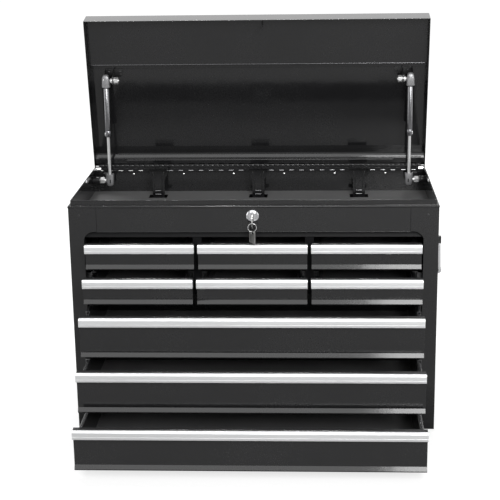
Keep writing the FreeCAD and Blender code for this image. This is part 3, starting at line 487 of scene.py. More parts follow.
def ball_rows(build, x_mid, z_mid, reach, y0, y1):
    """Two cages of balls along the flanges of a member."""
    ball = [(BALL_RADIUS * math.sin(math.radians(a)), BALL_RADIUS * math.cos(math.radians(a)))
            for a in (-50, 0, 50)]
    for way in (-1, 1):
        z = z_mid + way * reach
        build.block(x_mid - CAGE_HALF_WIDTH, x_mid + CAGE_HALF_WIDTH, y0 + CAGE_END, y1 - CAGE_END,
                    z - CAGE_HALF_THICK, z + CAGE_HALF_THICK, CAGE)
        for k in range(int((y1 - y0 - BALL_START - 6) / BALL_SPACING) + 1):
            y = y0 + BALL_START + BALL_SPACING * k
            build.lathe([(-BALL_RADIUS, 0)] + ball + [(BALL_RADIUS, 0)], (x_mid, y, z), (0, 1, 0), BALL, 8)


def slide_pair(drawer, body, replaced, middle):
    """The inner or, for a full width drawer, the middle members on both sides of a drawer."""
    half = (SMALL_SLIDE_HALF if drawer.small else WIDE_SLIDE_HALF) - MEMBER_STEP
    z_mid = FRONT_LOW[drawer.row] + (SMALL_SLIDE_MIDDLE if drawer.small else WIDE_SLIDE_MIDDLE)
    from_box, turned, travel, flange = 0.0, 1, 1.0, SMALL_FLANGE
    if middle:
        from_box, turned, travel, flange = SLIDE_THICK - SLIDE_SHEET - MIDDLE_GAP, -1, 0.5, MIDDLE_FLANGE
    elif not drawer.small:
        half, flange = half - MEMBER_STEP, WIDE_FLANGE
    y0, y1 = SLIDE_FRONT - drawer.open * travel, SLIDE_BACK - drawer.open * travel
    build = Build(ZINC)
    for side in (-1, 1):
        web, way = drawer.x + side * (drawer.half_box + from_box), side * turned
        slide_section(build, web, way, z_mid, half, flange, y0, y1)
        ball_rows(build, web + way * (flange - BALL_ROW_INSET), z_mid, half + BALL_ROW_LIFT, y0, y1)
        # Bright steel wires along both flange edges: painted highlights on the dark slide.
        for inset in (FLANGE_GLINT_INSET, flange - FLANGE_GLINT_INSET):
            build.sweep([(web + way * inset, y, z_mid + half - 0.45) for y in (y0 + 0.4, y1 - 0.4)],
                        FLANGE_GLINT_RADIUS, RIVET, 8)
    build.make(replaced + "_rolled", body, [replaced], smooth=50)


for drawer in DRAWERS:
    slide_pair(drawer, drawer.name, drawer.name + "_runners", False)
    if not drawer.small:
        member = "slide_middle_%d" % (drawer.row + 1)
        slide_pair(drawer, member + "_body", member, True)

# Gas struts
STRUT_X = 295.0
CASE_STUD = Vector((0, 127.0, 411.0))
LID_STUD = Vector((0, -25.1, 441.3))
LID_STUD_OPEN = HINGE + OPEN_LID @ (LID_STUD - HINGE)
STRUT_WAY = (LID_STUD_OPEN - CASE_STUD).normalized()
STRUT_LENGTH = (LID_STUD_OPEN - CASE_STUD).length
SOCKET_REACH, TUBE_LENGTH, ROD_IN_TUBE = 13.0, 98.0, 24.0
ROD_RADIUS, TUBE_RADIUS = 3.0, 6.8
TUBE_START = STRUT_LENGTH - SOCKET_REACH - TUBE_LENGTH
TUBE_END = STRUT_LENGTH - SOCKET_REACH
GLAND_END = 14.1
# Distance along the strut, half width and half depth
SOCKET_STATIONS = [(-12.0, 2.2, 2.0), (-11.6, 3.6, 3.2), (-10.2, 5.4, 4.6), (-7.0, 6.9, 5.8),
                   (-2.5, 7.5, 6.4), (4.0, 7.8, 6.5), (11.7, 8.3, 6.6), (12.6, 8.15, 6.4), (13.0, 7.6, 5.9)]
SOCKET_CORNER, SOCKET_POINTS = 0.62, 32
# Distance from the tube's lower end and radius
GLAND = [(0.6, 3.1), (0, 4.4), (0.3, 5.6), (1.0, 6.4), (2.0, 6.75), (11.5, TUBE_RADIUS), (12.3, 6.35),
         (13.3, 6.35), (GLAND_END, TUBE_RADIUS)]
# Stations along the gland, as distance from the tube's lower end and wire radius, of a bright streak that
# paints the gland's highlight.
GLAND_HIGHLIGHT = [(3.0, 0.5), (4.0, 1.3), (9.0, 1.3), (10.0, 0.5)]


def socket(build, at, way):
    """A moulded ball socket, flat at its neck."""
    across = Vector((1, 0, 0))
    deep = way.cross(across)
    sections = []
    for s, wide, depth in SOCKET_STATIONS:
        loop = []
        for k in range(SOCKET_POINTS):
            a = 2 * math.pi * (k + 0.5) / SOCKET_POINTS
            u = math.copysign(abs(math.cos(a)) ** SOCKET_CORNER, math.cos(a))
            v = math.copysign(abs(math.sin(a)) ** SOCKET_CORNER, math.sin(a))
            loop.append(at + way * s + across * (wide * u) + deep * (depth * v))
        sections.append(loop)
    build.loft(sections, SOCKET)


def strut_rod(side_name, side):
    foot = CASE_STUD + Vector((side * STRUT_X, 0, 0))
    top = TUBE_START + ROD_IN_TUBE
    build = Build(ROD)
    socket(build, foot, STRUT_WAY)
    build.lathe([(12.4, 0.0), (12.4, ROD_RADIUS), (top - 0.5, ROD_RADIUS), (top, 2.5), (top, 0.0)],
                foot, STRUT_WAY, ROD, 32)
    clip_x, clip_half = foot.x - side * 1.2, 1.4
    build.block(clip_x - clip_half, clip_x + clip_half, foot.y - 6.75, foot.y - 5.0,
                foot.z - 4.5, foot.z + 2.5, SATIN)
    build.make("strut_rod_%s_turned" % side_name, "strut_rod_%s_body" % side_name,
               ["strut_rod_" + side_name])


def strut_tube(side_name, side):
    foot = CASE_STUD + Vector((side * STRUT_X, 0, 0))
    head = foot + STRUT_WAY * STRUT_LENGTH
    build = Build(TUBE)
    build.lathe([(TUBE_START + s, r) for s, r in GLAND], foot, STRUT_WAY)
    # A bright wire on the gland's front side is a painted highlight.
    gland_highlight_at = foot + Vector((side * 4.6, -4.0, 0))
    build.sweep([gland_highlight_at + STRUT_WAY * (TUBE_START + s) for s, r in GLAND_HIGHLIGHT], [r for s, r in GLAND_HIGHLIGHT],
                ROD, 12)
    build.lathe([(TUBE_START + GLAND_END, TUBE_RADIUS), (TUBE_END - 2.2, TUBE_RADIUS), (TUBE_END - 1.4, 6.4),
                 (TUBE_END - 0.8, 5.8)], foot, STRUT_WAY)
    build.lathe([(TUBE_END - 1.2, 5.9), (TUBE_END + 0.2, 5.9)], foot, STRUT_WAY, SATIN)
    socket(build, head, -STRUT_WAY)
    build.dome((head.x + side * 3.4, head.y - 6.2, head.z + 2.4), (0, -1, 0), 1.3, 0.6, ROD, 12)
    build.make("strut_tube_%s_turned" % side_name, "strut_tube_%s_body" % side_name,
               ["strut_tube_" + side_name])


for side_name, side in SIDES:
    strut_rod(side_name, side)
    strut_tube(side_name, side)

# Studs of the struts, their profiles as distance along the stud and radius
BALL_STUD_RADIUS = 4.5
BALL_STUD = [(-BALL_STUD_RADIUS, 0.0)]
BALL_STUD += [(-BALL_STUD_RADIUS * math.cos(math.radians(a)), BALL_STUD_RADIUS * math.sin(math.radians(a)))
              for a in range(15, 136, 15)]
BALL_STUD += [(3.9, 2.95), (9.0, 3.0)]
STUD_FLANGE = [(9.0, 3.0), (9.2, 3.6), (9.4, 5.6), (10.1, 5.6), (10.1, 3.0)]
NUT_AT, NUT_RADIUS, NUT_LENGTH = 10.1, 6.8, 9.4
CASE_WASHER = [(19.5, 3.0), (19.5, 7.3), (19.9, 7.6), (22.7, 7.6), (23.1, 7.3), (23.1, 3.0)]
CASE_SPACER = [(23.1, 3.0), (23.1, 7.0), (23.5, 7.4), (33.6, 7.4), (34.0, 7.2), (34.0, 0.0)]
BRACKET_X, BRACKET_SHEET = 279.0, 2.0
BRACKET_FRONT, BRACKET_BACK, BRACKET_BEND_Z, BRACKET_CURVE = -43.0, -17.1, 439.3, 6.0
PLATE_INNER, PLATE_OUTER, PLATE_BACK, PLATE_LOW, PLATE_TOP = 264, 296, -29.0, 460.2, 462.0
LID_NUT_X, LID_NUT_LENGTH = 270.3, 7.3
LID_WASHER = [(0.0, 0.0), (0.0, 6.9), (0.3, 7.3), (1.2, 7.3), (1.4, 7.0), (1.4, 0.0)]
LID_WASHER_X = 277.6
LID_COLLAR = [(0.0, 4.6), (0.2, 6.4), (1.8, 6.4), (2.2, 5.2), (3.2, 4.6), (5.1, 4.6), (5.5, 4.2), (5.5, 0.0)]


def case_studs():
    build = Build(STUD)
    for side in (-1, 1):
        foot = CASE_STUD + Vector((side * STRUT_X, 0, 0))
        out = Vector((side, 0, 0))
        build.lathe(BALL_STUD, foot, out, STUD, 28)
        build.lathe(STUD_FLANGE, foot, out, STUD, 28)
        build.nut(foot + out * NUT_AT, out, NUT_RADIUS, NUT_LENGTH)
        build.lathe(CASE_WASHER, foot, out, SATIN, 32)
        build.lathe(CASE_SPACER, foot, out, SATIN, 32)
    build.make("case_studs_turned", "case", ["case_studs"])


def lid_studs():
    """The brackets under the lid with their studs, built closed and then opened with the lid."""
    web = [(BRACKET_FRONT, PLATE_TOP), (BRACKET_FRONT, 452.0)]
    web += arc(-31.1, BRACKET_BEND_Z, BRACKET_CURVE, 200, 270, 6)
    web += arc(BRACKET_BACK - BRACKET_CURVE, BRACKET_BEND_Z, BRACKET_CURVE, 270, 360, 6)
    web += [(BRACKET_BACK, PLATE_TOP)]
    build = Build(STUD)
    for side in (-1, 1):
        y, z = LID_STUD.y, LID_STUD.z
        out = (side, 0, 0)
        inner_face = min(side * BRACKET_X, side * (BRACKET_X + BRACKET_SHEET))
        build.prism(at_x(inner_face, web), (BRACKET_SHEET, 0, 0), SATIN)
        x0, x1 = sorted((side * PLATE_INNER, side * PLATE_OUTER))
        build.block(x0, x1, BRACKET_FRONT, PLATE_BACK, PLATE_LOW, PLATE_TOP, SATIN)
        for x in (268.5, 290.5):
            rivet_at = (side * x, (BRACKET_FRONT + PLATE_BACK) / 2, PLATE_LOW)
            build.dome(rivet_at, (0, 0, -1), 2.6, 1.3, SATIN, 16)
        build.nut((side * LID_NUT_X, y, z), out, NUT_RADIUS, LID_NUT_LENGTH)
        build.lathe(LID_WASHER, (side * LID_WASHER_X, y, z), out, STUD, 28)
        build.dome((side * LID_NUT_X, y, z), (-side, 0, 0), 3.0, 1.8)
        build.lathe(LID_COLLAR, (side * (BRACKET_X + BRACKET_SHEET), y, z), out, STUD, 28)
    build.open_with_lid()
    build.make("lid_studs_turned", "lid", ["lid_studs"], bevel=0.3)


case_studs()
lid_studs()

# Rear of the lid and piano hinge
WEB_TOP, WEB_FRONT, WEB_SHEET, WEB_LOW = 461.8, 127.4, 1.2, 436.5
# Place along y and rise of the two beads in the web's lower edge
WEB_BEADS = [(137.8, 0.35), (139.0, 0.35), (139.7, -0.45), (141.1, -0.6), (141.9, 0.35), (144.2, 0.35),
             (144.9, -0.1)]
# Place along x and how far the beads stand out there
WEB_STATIONS = [(-326.0, 0.0), (-270.0, 0.0), (-262.0, 1.0), (262.0, 1.0), (270.0, 0.0), (326.0, 0.0)]
# A round wire along the edge of the lid's channel, in grey metal on the black lid: a real edge with a painted
# highlight line.
CHANNEL_GLINT = [(-322.0, 450.25), (-321.0, 450.2), (321.0, 450.2), (322.0, 450.25)]
CHANNEL_GLINT_Y, CHANNEL_GLINT_RADIUS = -53.8, 0.6
KNUCKLE, KNUCKLE_PAIRS = 10.0, 16
# Pairs at the left end whose lower knuckles carry the brighter painted highlight.
GLINT_KNUCKLES_LEFT = 5
LEAF_FRONT, LEAF_BACK, LEAF_LOW = 141.7, 142.9, 425.4
KNUCKLE_LOW, KNUCKLE_HIGH = 426.9, 431.2
END_PLATE = [(140.0, 427.0), (LEAF_BACK, 427.0), (LEAF_BACK, 433.4), (141.6, 433.4), (140.0, 431.0)]
END_PLATE_INNER, END_PLATE_WIDTH = 314.6, 10.0
HINGE_RIVETS = (-250, -150, -50, 50, 150, 250)


def rear_web():
    """The lid's rear return: a slanted band, then two long beads above the hinge leaf."""
    inside = WEB_FRONT + WEB_SHEET
    sections = []
    for x, share in WEB_STATIONS:
        loop = [(WEB_FRONT, WEB_TOP), (WEB_FRONT, 443.9), (127.7, 443.5), (136.6, 436.75), (137.1, 436.6)]
        loop += [(y, WEB_LOW + 0.05 + rise * share) for y, rise in WEB_BEADS]
        loop += [(147.2, WEB_LOW), (147.2, 437.4), (137.6, 437.4), (129.1, 443.9), (inside, 444.6),
                 (inside, WEB_TOP)]
        sections.append(at_x(x, loop))
    build = Build(PAINT)
    build.loft(sections)
    build.open_with_lid()
    build.make("lid_rear_web", "lid", bevel=0.25, smooth=30)


# The channel's edge as a grey metal wire, which paints a highlight line along it.
def channel_glint_line():
    build = Build(TUBE)
    build.sweep([(x, CHANNEL_GLINT_Y, z) for x, z in CHANNEL_GLINT], CHANNEL_GLINT_RADIUS, TUBE, 12)
    build.open_with_lid()
    build.make("lid_channel_hem", "lid")


def knuckle_row():
    """The leaf's stepped edge with its rolled knuckles, rivet heads and end plates. Bright metal wires along
    the lower knuckles paint their highlights, brighter on the first pairs at the left end.
    """
    build = Build(RIVET)
    for k in range(-KNUCKLE_PAIRS, KNUCKLE_PAIRS):
        low = 2 * KNUCKLE * k
        high = low + KNUCKLE
        # The lower knuckles' wire is a painted highlight in bright metal on the black leaf.
        knuckle_glint = RIVET if k < GLINT_KNUCKLES_LEFT - KNUCKLE_PAIRS else STEEL
        build.block(low + 0.2, high - 0.2, LEAF_FRONT, LEAF_BACK, LEAF_LOW, KNUCKLE_LOW, PAINT)
        build.sweep([(low + 0.4, 141.8, KNUCKLE_LOW), (high - 0.4, 141.8, KNUCKLE_LOW)], 0.9, knuckle_glint, 12)
        build.block(high + 0.1, high + KNUCKLE - 0.1, LEAF_FRONT, LEAF_BACK, LEAF_LOW, KNUCKLE_HIGH, PAINT)
        build.sweep([(high + 0.2, 142.2, KNUCKLE_HIGH), (high + KNUCKLE - 0.2, 142.2, KNUCKLE_HIGH)],
                    0.6, PAINT)
    for side in (-1, 1):
        x0 = min(side * END_PLATE_INNER, side * (END_PLATE_INNER + END_PLATE_WIDTH))
        build.prism(at_x(x0, END_PLATE), (END_PLATE_WIDTH, 0, 0))
    for x in HINGE_RIVETS:
        build.dome((x, 145.7, 419.1), (0, -1, 0), 2.5, 1.5)
    build.make("hinge_knuckle_row", "case", bevel=0.3)


rear_web()
channel_glint_line()
knuckle_row()

# Lock bars
BAR_X = (-197.0, 0.0, 197.0)
# The bent tongue's outline as (y, z)
TONGUE = [(104.5, 386.8), (104.5, 394.9), (110.9, 394.9), (110.9, 394.3), (104.9, 394.3), (104.9, 386.8)]
TONGUE_HALF_WIDTH = 6.6
# Places (y, z) of grey steel lines that paint highlights along the tongue's edges and the bar's head.
TONGUE_HIGHLIGHTS = ((104.7, 394.4), (104.4, 387.4))
BAR_HEAD_HIGHLIGHT = (111.3, 439.75)
# A rib's place beside its start, along y and up
BAR_RIB = [(0.0, 111.2, 398.0), (0.0, 110.7, 399.5), (0.0, 110.7, 417.0), (3.0, 110.7, 429.0),
           (3.0, 111.2, 431.0)]
BAR_RIB_X, BAR_RIB_RADIUS = 7.5, 0.9


def bar_details(number, x):
    """The spring tongue in front of a lock bar and the bar's ribs, with grey steel lines along the edges of
    the tongue and of the bar's head that paint their highlights.
    """
    # A grey steel line along an edge, a painted highlight.
    def highlight_line(half, place, radius):
        build.sweep([(x - half, *place), (x + half, *place)], radius, STEEL)

    build = Build(SHADE)
    build.prism(at_x(x - TONGUE_HALF_WIDTH, TONGUE), (2 * TONGUE_HALF_WIDTH, 0, 0))
    for place in TONGUE_HIGHLIGHTS:
        highlight_line(5.9, place, 0.6)
    highlight_line(18.2, BAR_HEAD_HIGHLIGHT, 0.5)
    for side in (-1, 1):
        build.sweep([(x + side * (BAR_RIB_X + out), y, z) for out, y, z in BAR_RIB], BAR_RIB_RADIUS, SATIN)
    build.make("lock_bar_%d_tongue" % number, "lock_bar_%d_body" % number, bevel=0.12, smooth=40)


for k, x in enumerate(BAR_X):
    bar_details(k + 1, x)

# Lock, key, ring and tag
LOCK_AT = (0, FRONT_Y, 407.0)
# Distance out of the header and radius
LOCK_CAP = [(-13.0, 6.58), (-13.0, 9.2), (-12.6, 9.5), (-0.2, 9.5), (0.0, 9.5), (0.0, 11.2), (0.3, 11.5),
            (1.0, 11.45), (1.5, 11.0), (2.7, 8.1), (2.95, 7.6), (3.0, 7.2), (2.9, 6.6), (-13.0, 6.58)]
LOCK_NUT = [(-1.0, 9.4), (-1.0, 13.2), (-2.0, 14.0), (-4.0, 14.0), (-5.0, 13.2), (-5.0, 9.4)]
KEY_HALF_THICK = 1.0
KEY_SHANK = [(-158.5, 401.8), (-155.0, 403.4), (-140.9, 403.4), (-140.9, 409.0), (-142.6, 410.6),
             (-153.4, 410.6), (-154.6, 409.6), (-161.0, 406.9)]
RING_Y = -166.0
RING_AT = Vector((0, RING_Y, 390.2))
RING_RADIUS, RING_WIRE, RING_PITCH, RING_STEPS = 7.5, 0.5, 0.9, 96
TAG_HALF_WIDTH, TAG_TOP, TAG_LOW, TAG_CORNER, TAG_HALF_THICK = 7.3, 384.4, 361.8, 3.4, 1.15
TAG_HOLE_Z, TAG_HOLE_RADIUS, TAG_TURN = 380.5, 2.9, math.radians(42)
TAG_RIM_WIDE, TAG_RIM_HIGH, TAG_RIM_RADIUS = 0.86, 0.93, 0.28


def lock_housing():
    build = Build(CHROME)
    build.lathe(LOCK_CAP, LOCK_AT, (0, -1, 0), CHROME, 56)
    build.lathe(LOCK_NUT, LOCK_AT, (0, -1, 0), CHROME, 6)
    build.make("lock_housing_turned", "case", ["lock_housing"])


def key():
    """The key: an oval bow with a hole for the ring, a shank and a rib on each side of the blade."""
    thick = (2 * KEY_HALF_THICK, 0, 0)
    bow, hole = oval(-165.6, 398.6, 8.6, 10.2, 40), oval(RING_Y, 400.1, 3.0, 3.0, 40)
    build = Build(KEY)
    build.holed(at_x(-KEY_HALF_THICK, bow), at_x(-KEY_HALF_THICK, hole), thick)
    build.prism(at_x(-KEY_HALF_THICK, KEY_SHANK), thick)
    for side in (-1, 1):
        rib_x = side * (KEY_HALF_THICK + 0.15)
        build.block(rib_x - 0.2, rib_x + 0.2, -153.0, -141.5, 406.2, 407.6)
    build.make("key_cut", "lock_plug_body", ["key"], bevel=0.35)


def ring_and_tag():
    """A split ring of two turns, and the flat tag on it, turned about the upright through its hole."""
    build = Build(STUD)
    coil = []
    for k in range(RING_STEPS + 1):
        t = 4 * math.pi * k / RING_STEPS
        coil.append(RING_AT + Vector((RING_RADIUS * math.sin(t), RING_PITCH * (0.5 - k / RING_STEPS),
                                      RING_RADIUS * math.cos(t))))
    build.sweep(coil, RING_WIRE)
    tag_start = len(build.verts)

    right, top, low = TAG_HALF_WIDTH - TAG_CORNER, TAG_TOP - TAG_CORNER, TAG_LOW + TAG_CORNER
    outline = []
    for y, z, start in ((right, top, 0), (-right, top, 90), (-right, low, 180), (right, low, 270)):
        outline += arc(RING_Y + y, z, TAG_CORNER, start, start + 90, 9)
    hole = oval(RING_Y, TAG_HOLE_Z, TAG_HOLE_RADIUS, TAG_HOLE_RADIUS, 40, math.pi / 40)
    build.holed(at_x(-TAG_HALF_THICK, outline), at_x(-TAG_HALF_THICK, hole), (2 * TAG_HALF_THICK, 0, 0), KEY)
    middle = (TAG_TOP + TAG_LOW) / 2
    rim = [(RING_Y + (y - RING_Y) * TAG_RIM_WIDE, middle + (z - middle) * TAG_RIM_HIGH) for y, z in outline]
    for way in (-1, 1):
        build.sweep(at_x(way * TAG_HALF_THICK, rim), TAG_RIM_RADIUS, KEY, 8, closed=True)
    build.turn(Vector((0, RING_Y, TAG_HOLE_Z)), Matrix.Rotation(TAG_TURN, 3, "Z"), tag_start)
    build.make("key_ring_split", "key_ring_body", ["key_ring"], bevel=0.3)


lock_housing()
key()
ring_and_tag()

# Side handles
PIN_X, PIN_Z, PIN_END = 337.5, 343.0, 77.6
GRIP_X, GRIP_Z, GRIP_END = 339.1, 279.0, 54.4
ARM_Y, WIRE, PIN_WIRE = 65.0, 3.8, 2.9
PIN_BEND, GRIP_BEND = 4.0, 8.0
GRIP_RIBS, GRIP_RIB_STEP, GRIP_RADIUS, GRIP_GROOVE = 18, 6.0, 6.4, 6.1
GRIP_CAP = [(55.6, WIRE), (55.6, 5.6), (55.2, 6.2), (GRIP_END, GRIP_RADIUS)]
PIN_CAP = [(-7.0, 0.0), (-7.0, 3.05), (-0.4, 3.05), (0.2, 2.5), (0.3, 0.0)]


def handle_arm(side, end):
    """Points (x, y, z, radius) from the pin's end round its bend, down the arm and into the grip."""
    x_pin, x_grip = side * PIN_X, side * GRIP_X
    points = [(x_pin, end * PIN_END, PIN_Z, 2.6), (x_pin, end * (PIN_END - 0.4), PIN_Z, PIN_WIRE),
              (x_pin, end * 69.9, PIN_Z, PIN_WIRE)]
    for k in range(7):
        a = math.radians(90 * k / 6)
        points.append((x_pin, end * (ARM_Y + PIN_BEND * (1 - math.sin(a))),
                       PIN_Z - PIN_BEND * (1 - math.cos(a)), PIN_WIRE + (WIRE - PIN_WIRE) * k / 6))
    lean = (x_grip - x_pin) / (PIN_Z - GRIP_Z)
    straight = PIN_Z - GRIP_Z - PIN_BEND - GRIP_BEND
    for k in range(1, 5):
        z = PIN_Z - PIN_BEND - straight * k / 4
        points.append((x_pin + lean * (PIN_Z - z), end * ARM_Y, z, WIRE))
    for k in range(1, 8):
        a = math.radians(90 * k / 7)
        points.append((x_grip, end * (ARM_Y - GRIP_BEND * (1 - math.cos(a))),
                       GRIP_Z + GRIP_BEND * (1 - math.sin(a)), WIRE))
    return points


def handle(side_name, side):
    """The bail in one round wire, its ribbed grip and the caps on its pins."""
    points = handle_arm(side, -1) + handle_arm(side, 1)[::-1]
    build = Build(BAIL)
    build.sweep([point[:3] for point in points], [point[3] for point in points], BAIL, 16)
    ribs = [(-y, r) for y, r in GRIP_CAP]
    for k in range(GRIP_RIBS):
        y = GRIP_RIB_STEP * (k - (GRIP_RIBS - 1) / 2)
        ribs += [(y - 0.9, GRIP_RADIUS), (y - 0.5, GRIP_GROOVE)]
        ribs += [(y + 0.5, GRIP_GROOVE), (y + 0.9, GRIP_RADIUS)]
    ribs += GRIP_CAP[::-1]
    build.lathe(ribs, (side * GRIP_X, 0, GRIP_Z), (0, 1, 0), BAIL, 32)
    for end in (-1, 1):
        build.lathe(PIN_CAP, (side * PIN_X, end * PIN_END, PIN_Z), (0, end, 0), SATIN, 20)
    build.make("handle_%s_bail" % side_name, "handle_%s_body" % side_name,
               ["handle_" + side_name], smooth=45)


for side_name, side in SIDES:
    handle(side_name, side)

# Rivets, folds and edges of the case
MOUNT_X, MOUNT_RIVET_Y, MOUNT_RIVET_Z = 332.0, (-54.0, 54.0), (326.0, 345.0)
DIMPLE = [(-0.3, 1.9), (0.1, 2.3), (0.25, 2.1), (0.25, 1.5), (-0.3, 1.1)]
DIMPLE_X, DIMPLE_Z = 311.3, 408.0
# Place of a small dome on the rim's inside whose matte white paints a glint.
RIM_DOT_X, RIM_DOT_Y, RIM_DOT_Z = 324.9, 25.0, 431.6
# Distance out of the case's face and height
LEDGE_FOLD = [(-0.3, 421.6), (0.15, 421.8), (0.6, 423.2), (0.58, 424.4), (0.15, 425.5), (-0.7, 426.15),
              (-1.6, 426.28), (-3.8, 426.28), (-4.0, 425.4), (-0.9, 424.6)]
LEDGE_BACK = 138.0
RIM_X, RIM_FRONT, RIM_BACK, RIM_Z, RIM_BEND, RIM_RADIUS = 325.4, -143.4, 139.0, 434.5, 2.0, 0.8
# Outline of a dark strip laid on the recessed rail under the header, which paints the shade there.
RAIL = [(-138.9, 382.6), (-139.3, 382.6), (-139.4, 367.6), (-139.75, 366.9), (-139.7, 366.0), (-139.2, 365.6),
        (-138.9, 365.9)]
RAIL_HALF = 301.4
EDGE_Y = FRONT_Y - 0.02
HEADER_LOW, HEADER_TOP, HEADER_HALF = 377.9, 421.4, 280.0


def case_rivets():
    build = Build(SATIN)
    for side in (-1, 1):
        for y in MOUNT_RIVET_Y:
            for z in MOUNT_RIVET_Z:
                build.dome((side * MOUNT_X, y, z), (side, 0, 0), 3.4, 1.6)
        build.lathe(DIMPLE, (side * DIMPLE_X, FRONT_Y, DIMPLE_Z), (0, -1, 0), SATIN, 20)
        # The dome's matte white paints a glint.
        build.dome((side * RIM_DOT_X, RIM_DOT_Y, RIM_DOT_Z), (-side, 0, 0), 3.1, 1.5, GLINT_WHITE)
    build.make("case_rivets", "case")


def ledge_fold():
    """The rounded fold round the ledge, mitred at the front corners."""
    build = Build(PAINT)
    half = CASE_HALF_WIDTH
    left = [[(-half - out, LEDGE_BACK, z) for out, z in LEDGE_FOLD],
            [(-half - out, FRONT_Y - out, z) for out, z in LEDGE_FOLD]]
    right = [[(-x, y, z) for x, y, z in loop] for loop in reversed(left)]
    build.loft(left + right)
    build.make("ledge_fold", "case", smooth=60)


def rim_hem():
    corner = 0.6
    left = [(-RIM_X, RIM_BACK, RIM_Z), (-RIM_X, RIM_FRONT + RIM_BEND, RIM_Z),
            (-RIM_X + corner, RIM_FRONT + corner, RIM_Z), (-RIM_X + RIM_BEND, RIM_FRONT, RIM_Z)]
    build = Build(PAINT)
    build.sweep(left + [(-x, y, z) for x, y, z in reversed(left)], RIM_RADIUS, PAINT, 12)
    build.make("rim_hem", "case", smooth=60)


# A dark strip over the recessed rail under the header: painted shade.
def header_rail_shade_strip():
    build = Build(SHADE)
    build.loft([at_x(x, RAIL) for x in (-RAIL_HALF, RAIL_HALF)])
    build.make("header_rail_shade_strip", "case", smooth=30)


def header_edges():
    """The line along the header's lower edge, and dark lines at its ends that paint the shade in the gaps
    there.
    """
    line_half = HEADER_HALF - 0.4
    build = Build(SHADE)
    build.sweep([(-line_half, EDGE_Y, HEADER_LOW), (line_half, EDGE_Y, HEADER_LOW)], 0.34, SATIN, 8)
    # Dark lines at the header's ends: painted shade in the gaps.
    for side in (-1, 1):
        x = side * HEADER_HALF
        build.sweep([(x, EDGE_Y, HEADER_LOW - 0.5), (x, EDGE_Y, HEADER_TOP)], 0.3, SHADE, 8)
    build.make("header_edges", "case")


case_rivets()
ledge_fold()
rim_hem()
header_rail_shade_strip()
header_edges()

# Camera, fitted to the edges that show in the photograph
CAMERA_AT = Vector((0.109055, -2.42599, 0.987113))
PITCH, YAW, ROLL = math.radians(15.741), math.radians(-2.874), math.radians(-0.839)
FOCAL_PIXELS, PHOTO_PIXELS, SENSOR_MM = 1324.255, 500, 36.0


def camera():
    ahead = Vector((math.sin(YAW) * math.cos(PITCH), math.cos(YAW) * math.cos(PITCH), -math.sin(PITCH)))
    level = Vector((math.cos(YAW), -math.sin(YAW), 0))
    upright = level.cross(ahead)
    right = math.cos(ROLL) * level + math.sin(ROLL) * upright
    up = -math.sin(ROLL) * level + math.cos(ROLL) * upright
    data = bpy.data.cameras.new("camera")
    data.sensor_width = SENSOR_MM
    data.lens = FOCAL_PIXELS / PHOTO_PIXELS * SENSOR_MM
    data.clip_start, data.clip_end = 0.05, 60
    obj = bpy.data.objects.new("camera", data)
    bpy.context.scene.collection.objects.link(obj)
    turned = Matrix((right, up, -ahead)).transposed().to_4x4()
    obj.matrix_world = Matrix.Translation(CAMERA_AT) @ turned
    bpy.context.scene.camera = obj


# Floor, light and world
WORLD_LIGHT, GLOSSY_WHITE = 0.147, 0.53
FLOOR_SIZE, FLOOR_DROP, FLOOR_GREY, FLOOR_ROUGHNESS = 9.0, 0.0004, 0.36, 0.9
GLOW_NEAR, GLOW_FAR = 0.5, 2.6
CAMERA_GLOW, CAMERA_GLOW_FAR = 0.76, 1.0
GLOSSY_GLOW, GLOSSY_GLOW_FAR = 0.033, 0.24
# Name, place, target, two sizes in m, and radiance
LAMPS = [
    ("soft_front", (0.0, -2.5, 2.05), (0, -0.2, 0.30), 3.0, 1.85, 1.43),
    ("soft_right", (0.82, -2.35, 1.52), (0.4, -0.25, 0.25), 0.95, 1.15, 7.3),
    ("soft_back", (0.0, 2.2, 1.85), (0, 0.15, 0.7), 3.0, 1.0, 0.92),
    ("side_left", (-1.9, -0.9, 0.9), (0, 0, 0.45), 0.8, 1.3, 1.2),
    ("side_right", (1.9, -0.9, 0.9), (0, 0, 0.45), 0.8, 1.3, 1.2),
    ("strip_top", (-0.1, 0.31, 2.4), (-0.05, 0.05, 0.38), 1.6, 0.1, 87.0),
]


def lamp(name, at, target, size_x, size_y, radiance):
    data = bpy.data.lights.new(name, "AREA")
    data.shape = "RECTANGLE"
    data.size, data.size_y = size_x, size_y
    data.energy = 4 * size_x * size_y * radiance
    obj = bpy.data.objects.new(name, data)
    bpy.context.scene.collection.objects.link(obj)
    obj.location = at
    obj.rotation_euler = (Vector(target) - Vector(at)).to_track_quat("-Z", "Y").to_euler()
    obj.visible_camera = False


def world():
    """White for camera and transmission rays, greyer in reflections, and faint as a light."""
    studio = bpy.data.worlds.new("studio")
    bpy.context.scene.world = studio
    studio.use_nodes = True
    nt = studio.node_tree
    nt.nodes.clear()
    path = nt.nodes.new("ShaderNodeLightPath").outputs
    glossy = math_node(nt, "MULTIPLY", path["Is Glossy Ray"], GLOSSY_WHITE)
    seen = math_node(nt, "MAXIMUM", path["Is Camera Ray"], glossy)
    seen = math_node(nt, "MAXIMUM", seen, path["Is Transmission Ray"])
    background = nt.nodes.new("ShaderNodeBackground")
    background.inputs["Color"].default_value = (1, 1, 1, 1)
    nt.links.new(math_node(nt, "MAXIMUM", seen, WORLD_LIGHT), background.inputs["Strength"])
    out = nt.nodes.new("ShaderNodeOutputWorld")
    nt.links.new(background.outputs[0], out.inputs["Surface"])


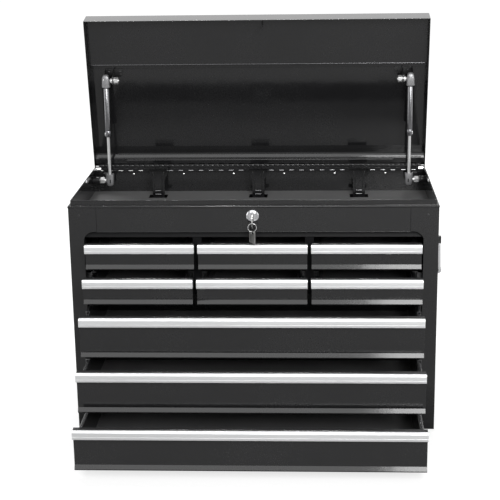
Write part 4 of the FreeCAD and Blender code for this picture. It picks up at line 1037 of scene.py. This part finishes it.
def floor_material():
    """Pale, with a glow that rises away from the chest, so that only the near floor shows a shadow."""
    mat = bpy.data.materials.new("floor_pale")
    mat.use_nodes = True
    nt = mat.node_tree
    bsdf = nt.nodes["Principled BSDF"]
    bsdf.inputs["Base Color"].default_value = (FLOOR_GREY, FLOOR_GREY, FLOOR_GREY, 1)
    bsdf.inputs["Roughness"].default_value = FLOOR_ROUGHNESS
    bsdf.inputs["Specular IOR Level"].default_value = 0.0
    length = nt.nodes.new("ShaderNodeVectorMath")
    length.operation = "LENGTH"
    nt.links.new(nt.nodes.new("ShaderNodeTexCoord").outputs["Object"], length.inputs[0])
    away = map_range(nt, length.outputs["Value"], (GLOW_NEAR, GLOW_FAR), (0.0, 1.0), "SMOOTHSTEP")
    path = nt.nodes.new("ShaderNodeLightPath").outputs
    direct = math_node(nt, "MAXIMUM", path["Is Camera Ray"], path["Is Transmission Ray"])
    camera_glow = math_node(nt, "MULTIPLY_ADD", away, CAMERA_GLOW_FAR - CAMERA_GLOW, CAMERA_GLOW)
    glossy_glow = math_node(nt, "MULTIPLY_ADD", away, GLOSSY_GLOW_FAR - GLOSSY_GLOW, GLOSSY_GLOW)
    reflected = math_node(nt, "MULTIPLY", path["Is Glossy Ray"], glossy_glow)
    strength = math_node(nt, "MAXIMUM", math_node(nt, "MULTIPLY", direct, camera_glow), reflected)
    glow = nt.nodes.new("ShaderNodeEmission")
    glow.inputs["Color"].default_value = (1, 1, 1, 1)
    nt.links.new(strength, glow.inputs["Strength"])
    both = nt.nodes.new("ShaderNodeAddShader")
    nt.links.new(bsdf.outputs[0], both.inputs[0])
    nt.links.new(glow.outputs[0], both.inputs[1])
    nt.links.new(both.outputs[0], nt.nodes["Material Output"].inputs["Surface"])
    return mat


def floor():
    bm = bmesh.new()
    bmesh.ops.create_grid(bm, x_segments=8, y_segments=8, size=FLOOR_SIZE)
    mesh = bpy.data.meshes.new("floor")
    bm.to_mesh(mesh)
    bm.free()
    mesh.materials.append(floor_material())
    obj = bpy.data.objects.new("floor", mesh)
    bpy.context.scene.collection.objects.link(obj)
    obj.location = (0, 0, -FLOOR_DROP)


camera()
world()
floor()
for values in LAMPS:
    lamp(*values)

bpy.context.scene.view_settings.view_transform = "Standard"
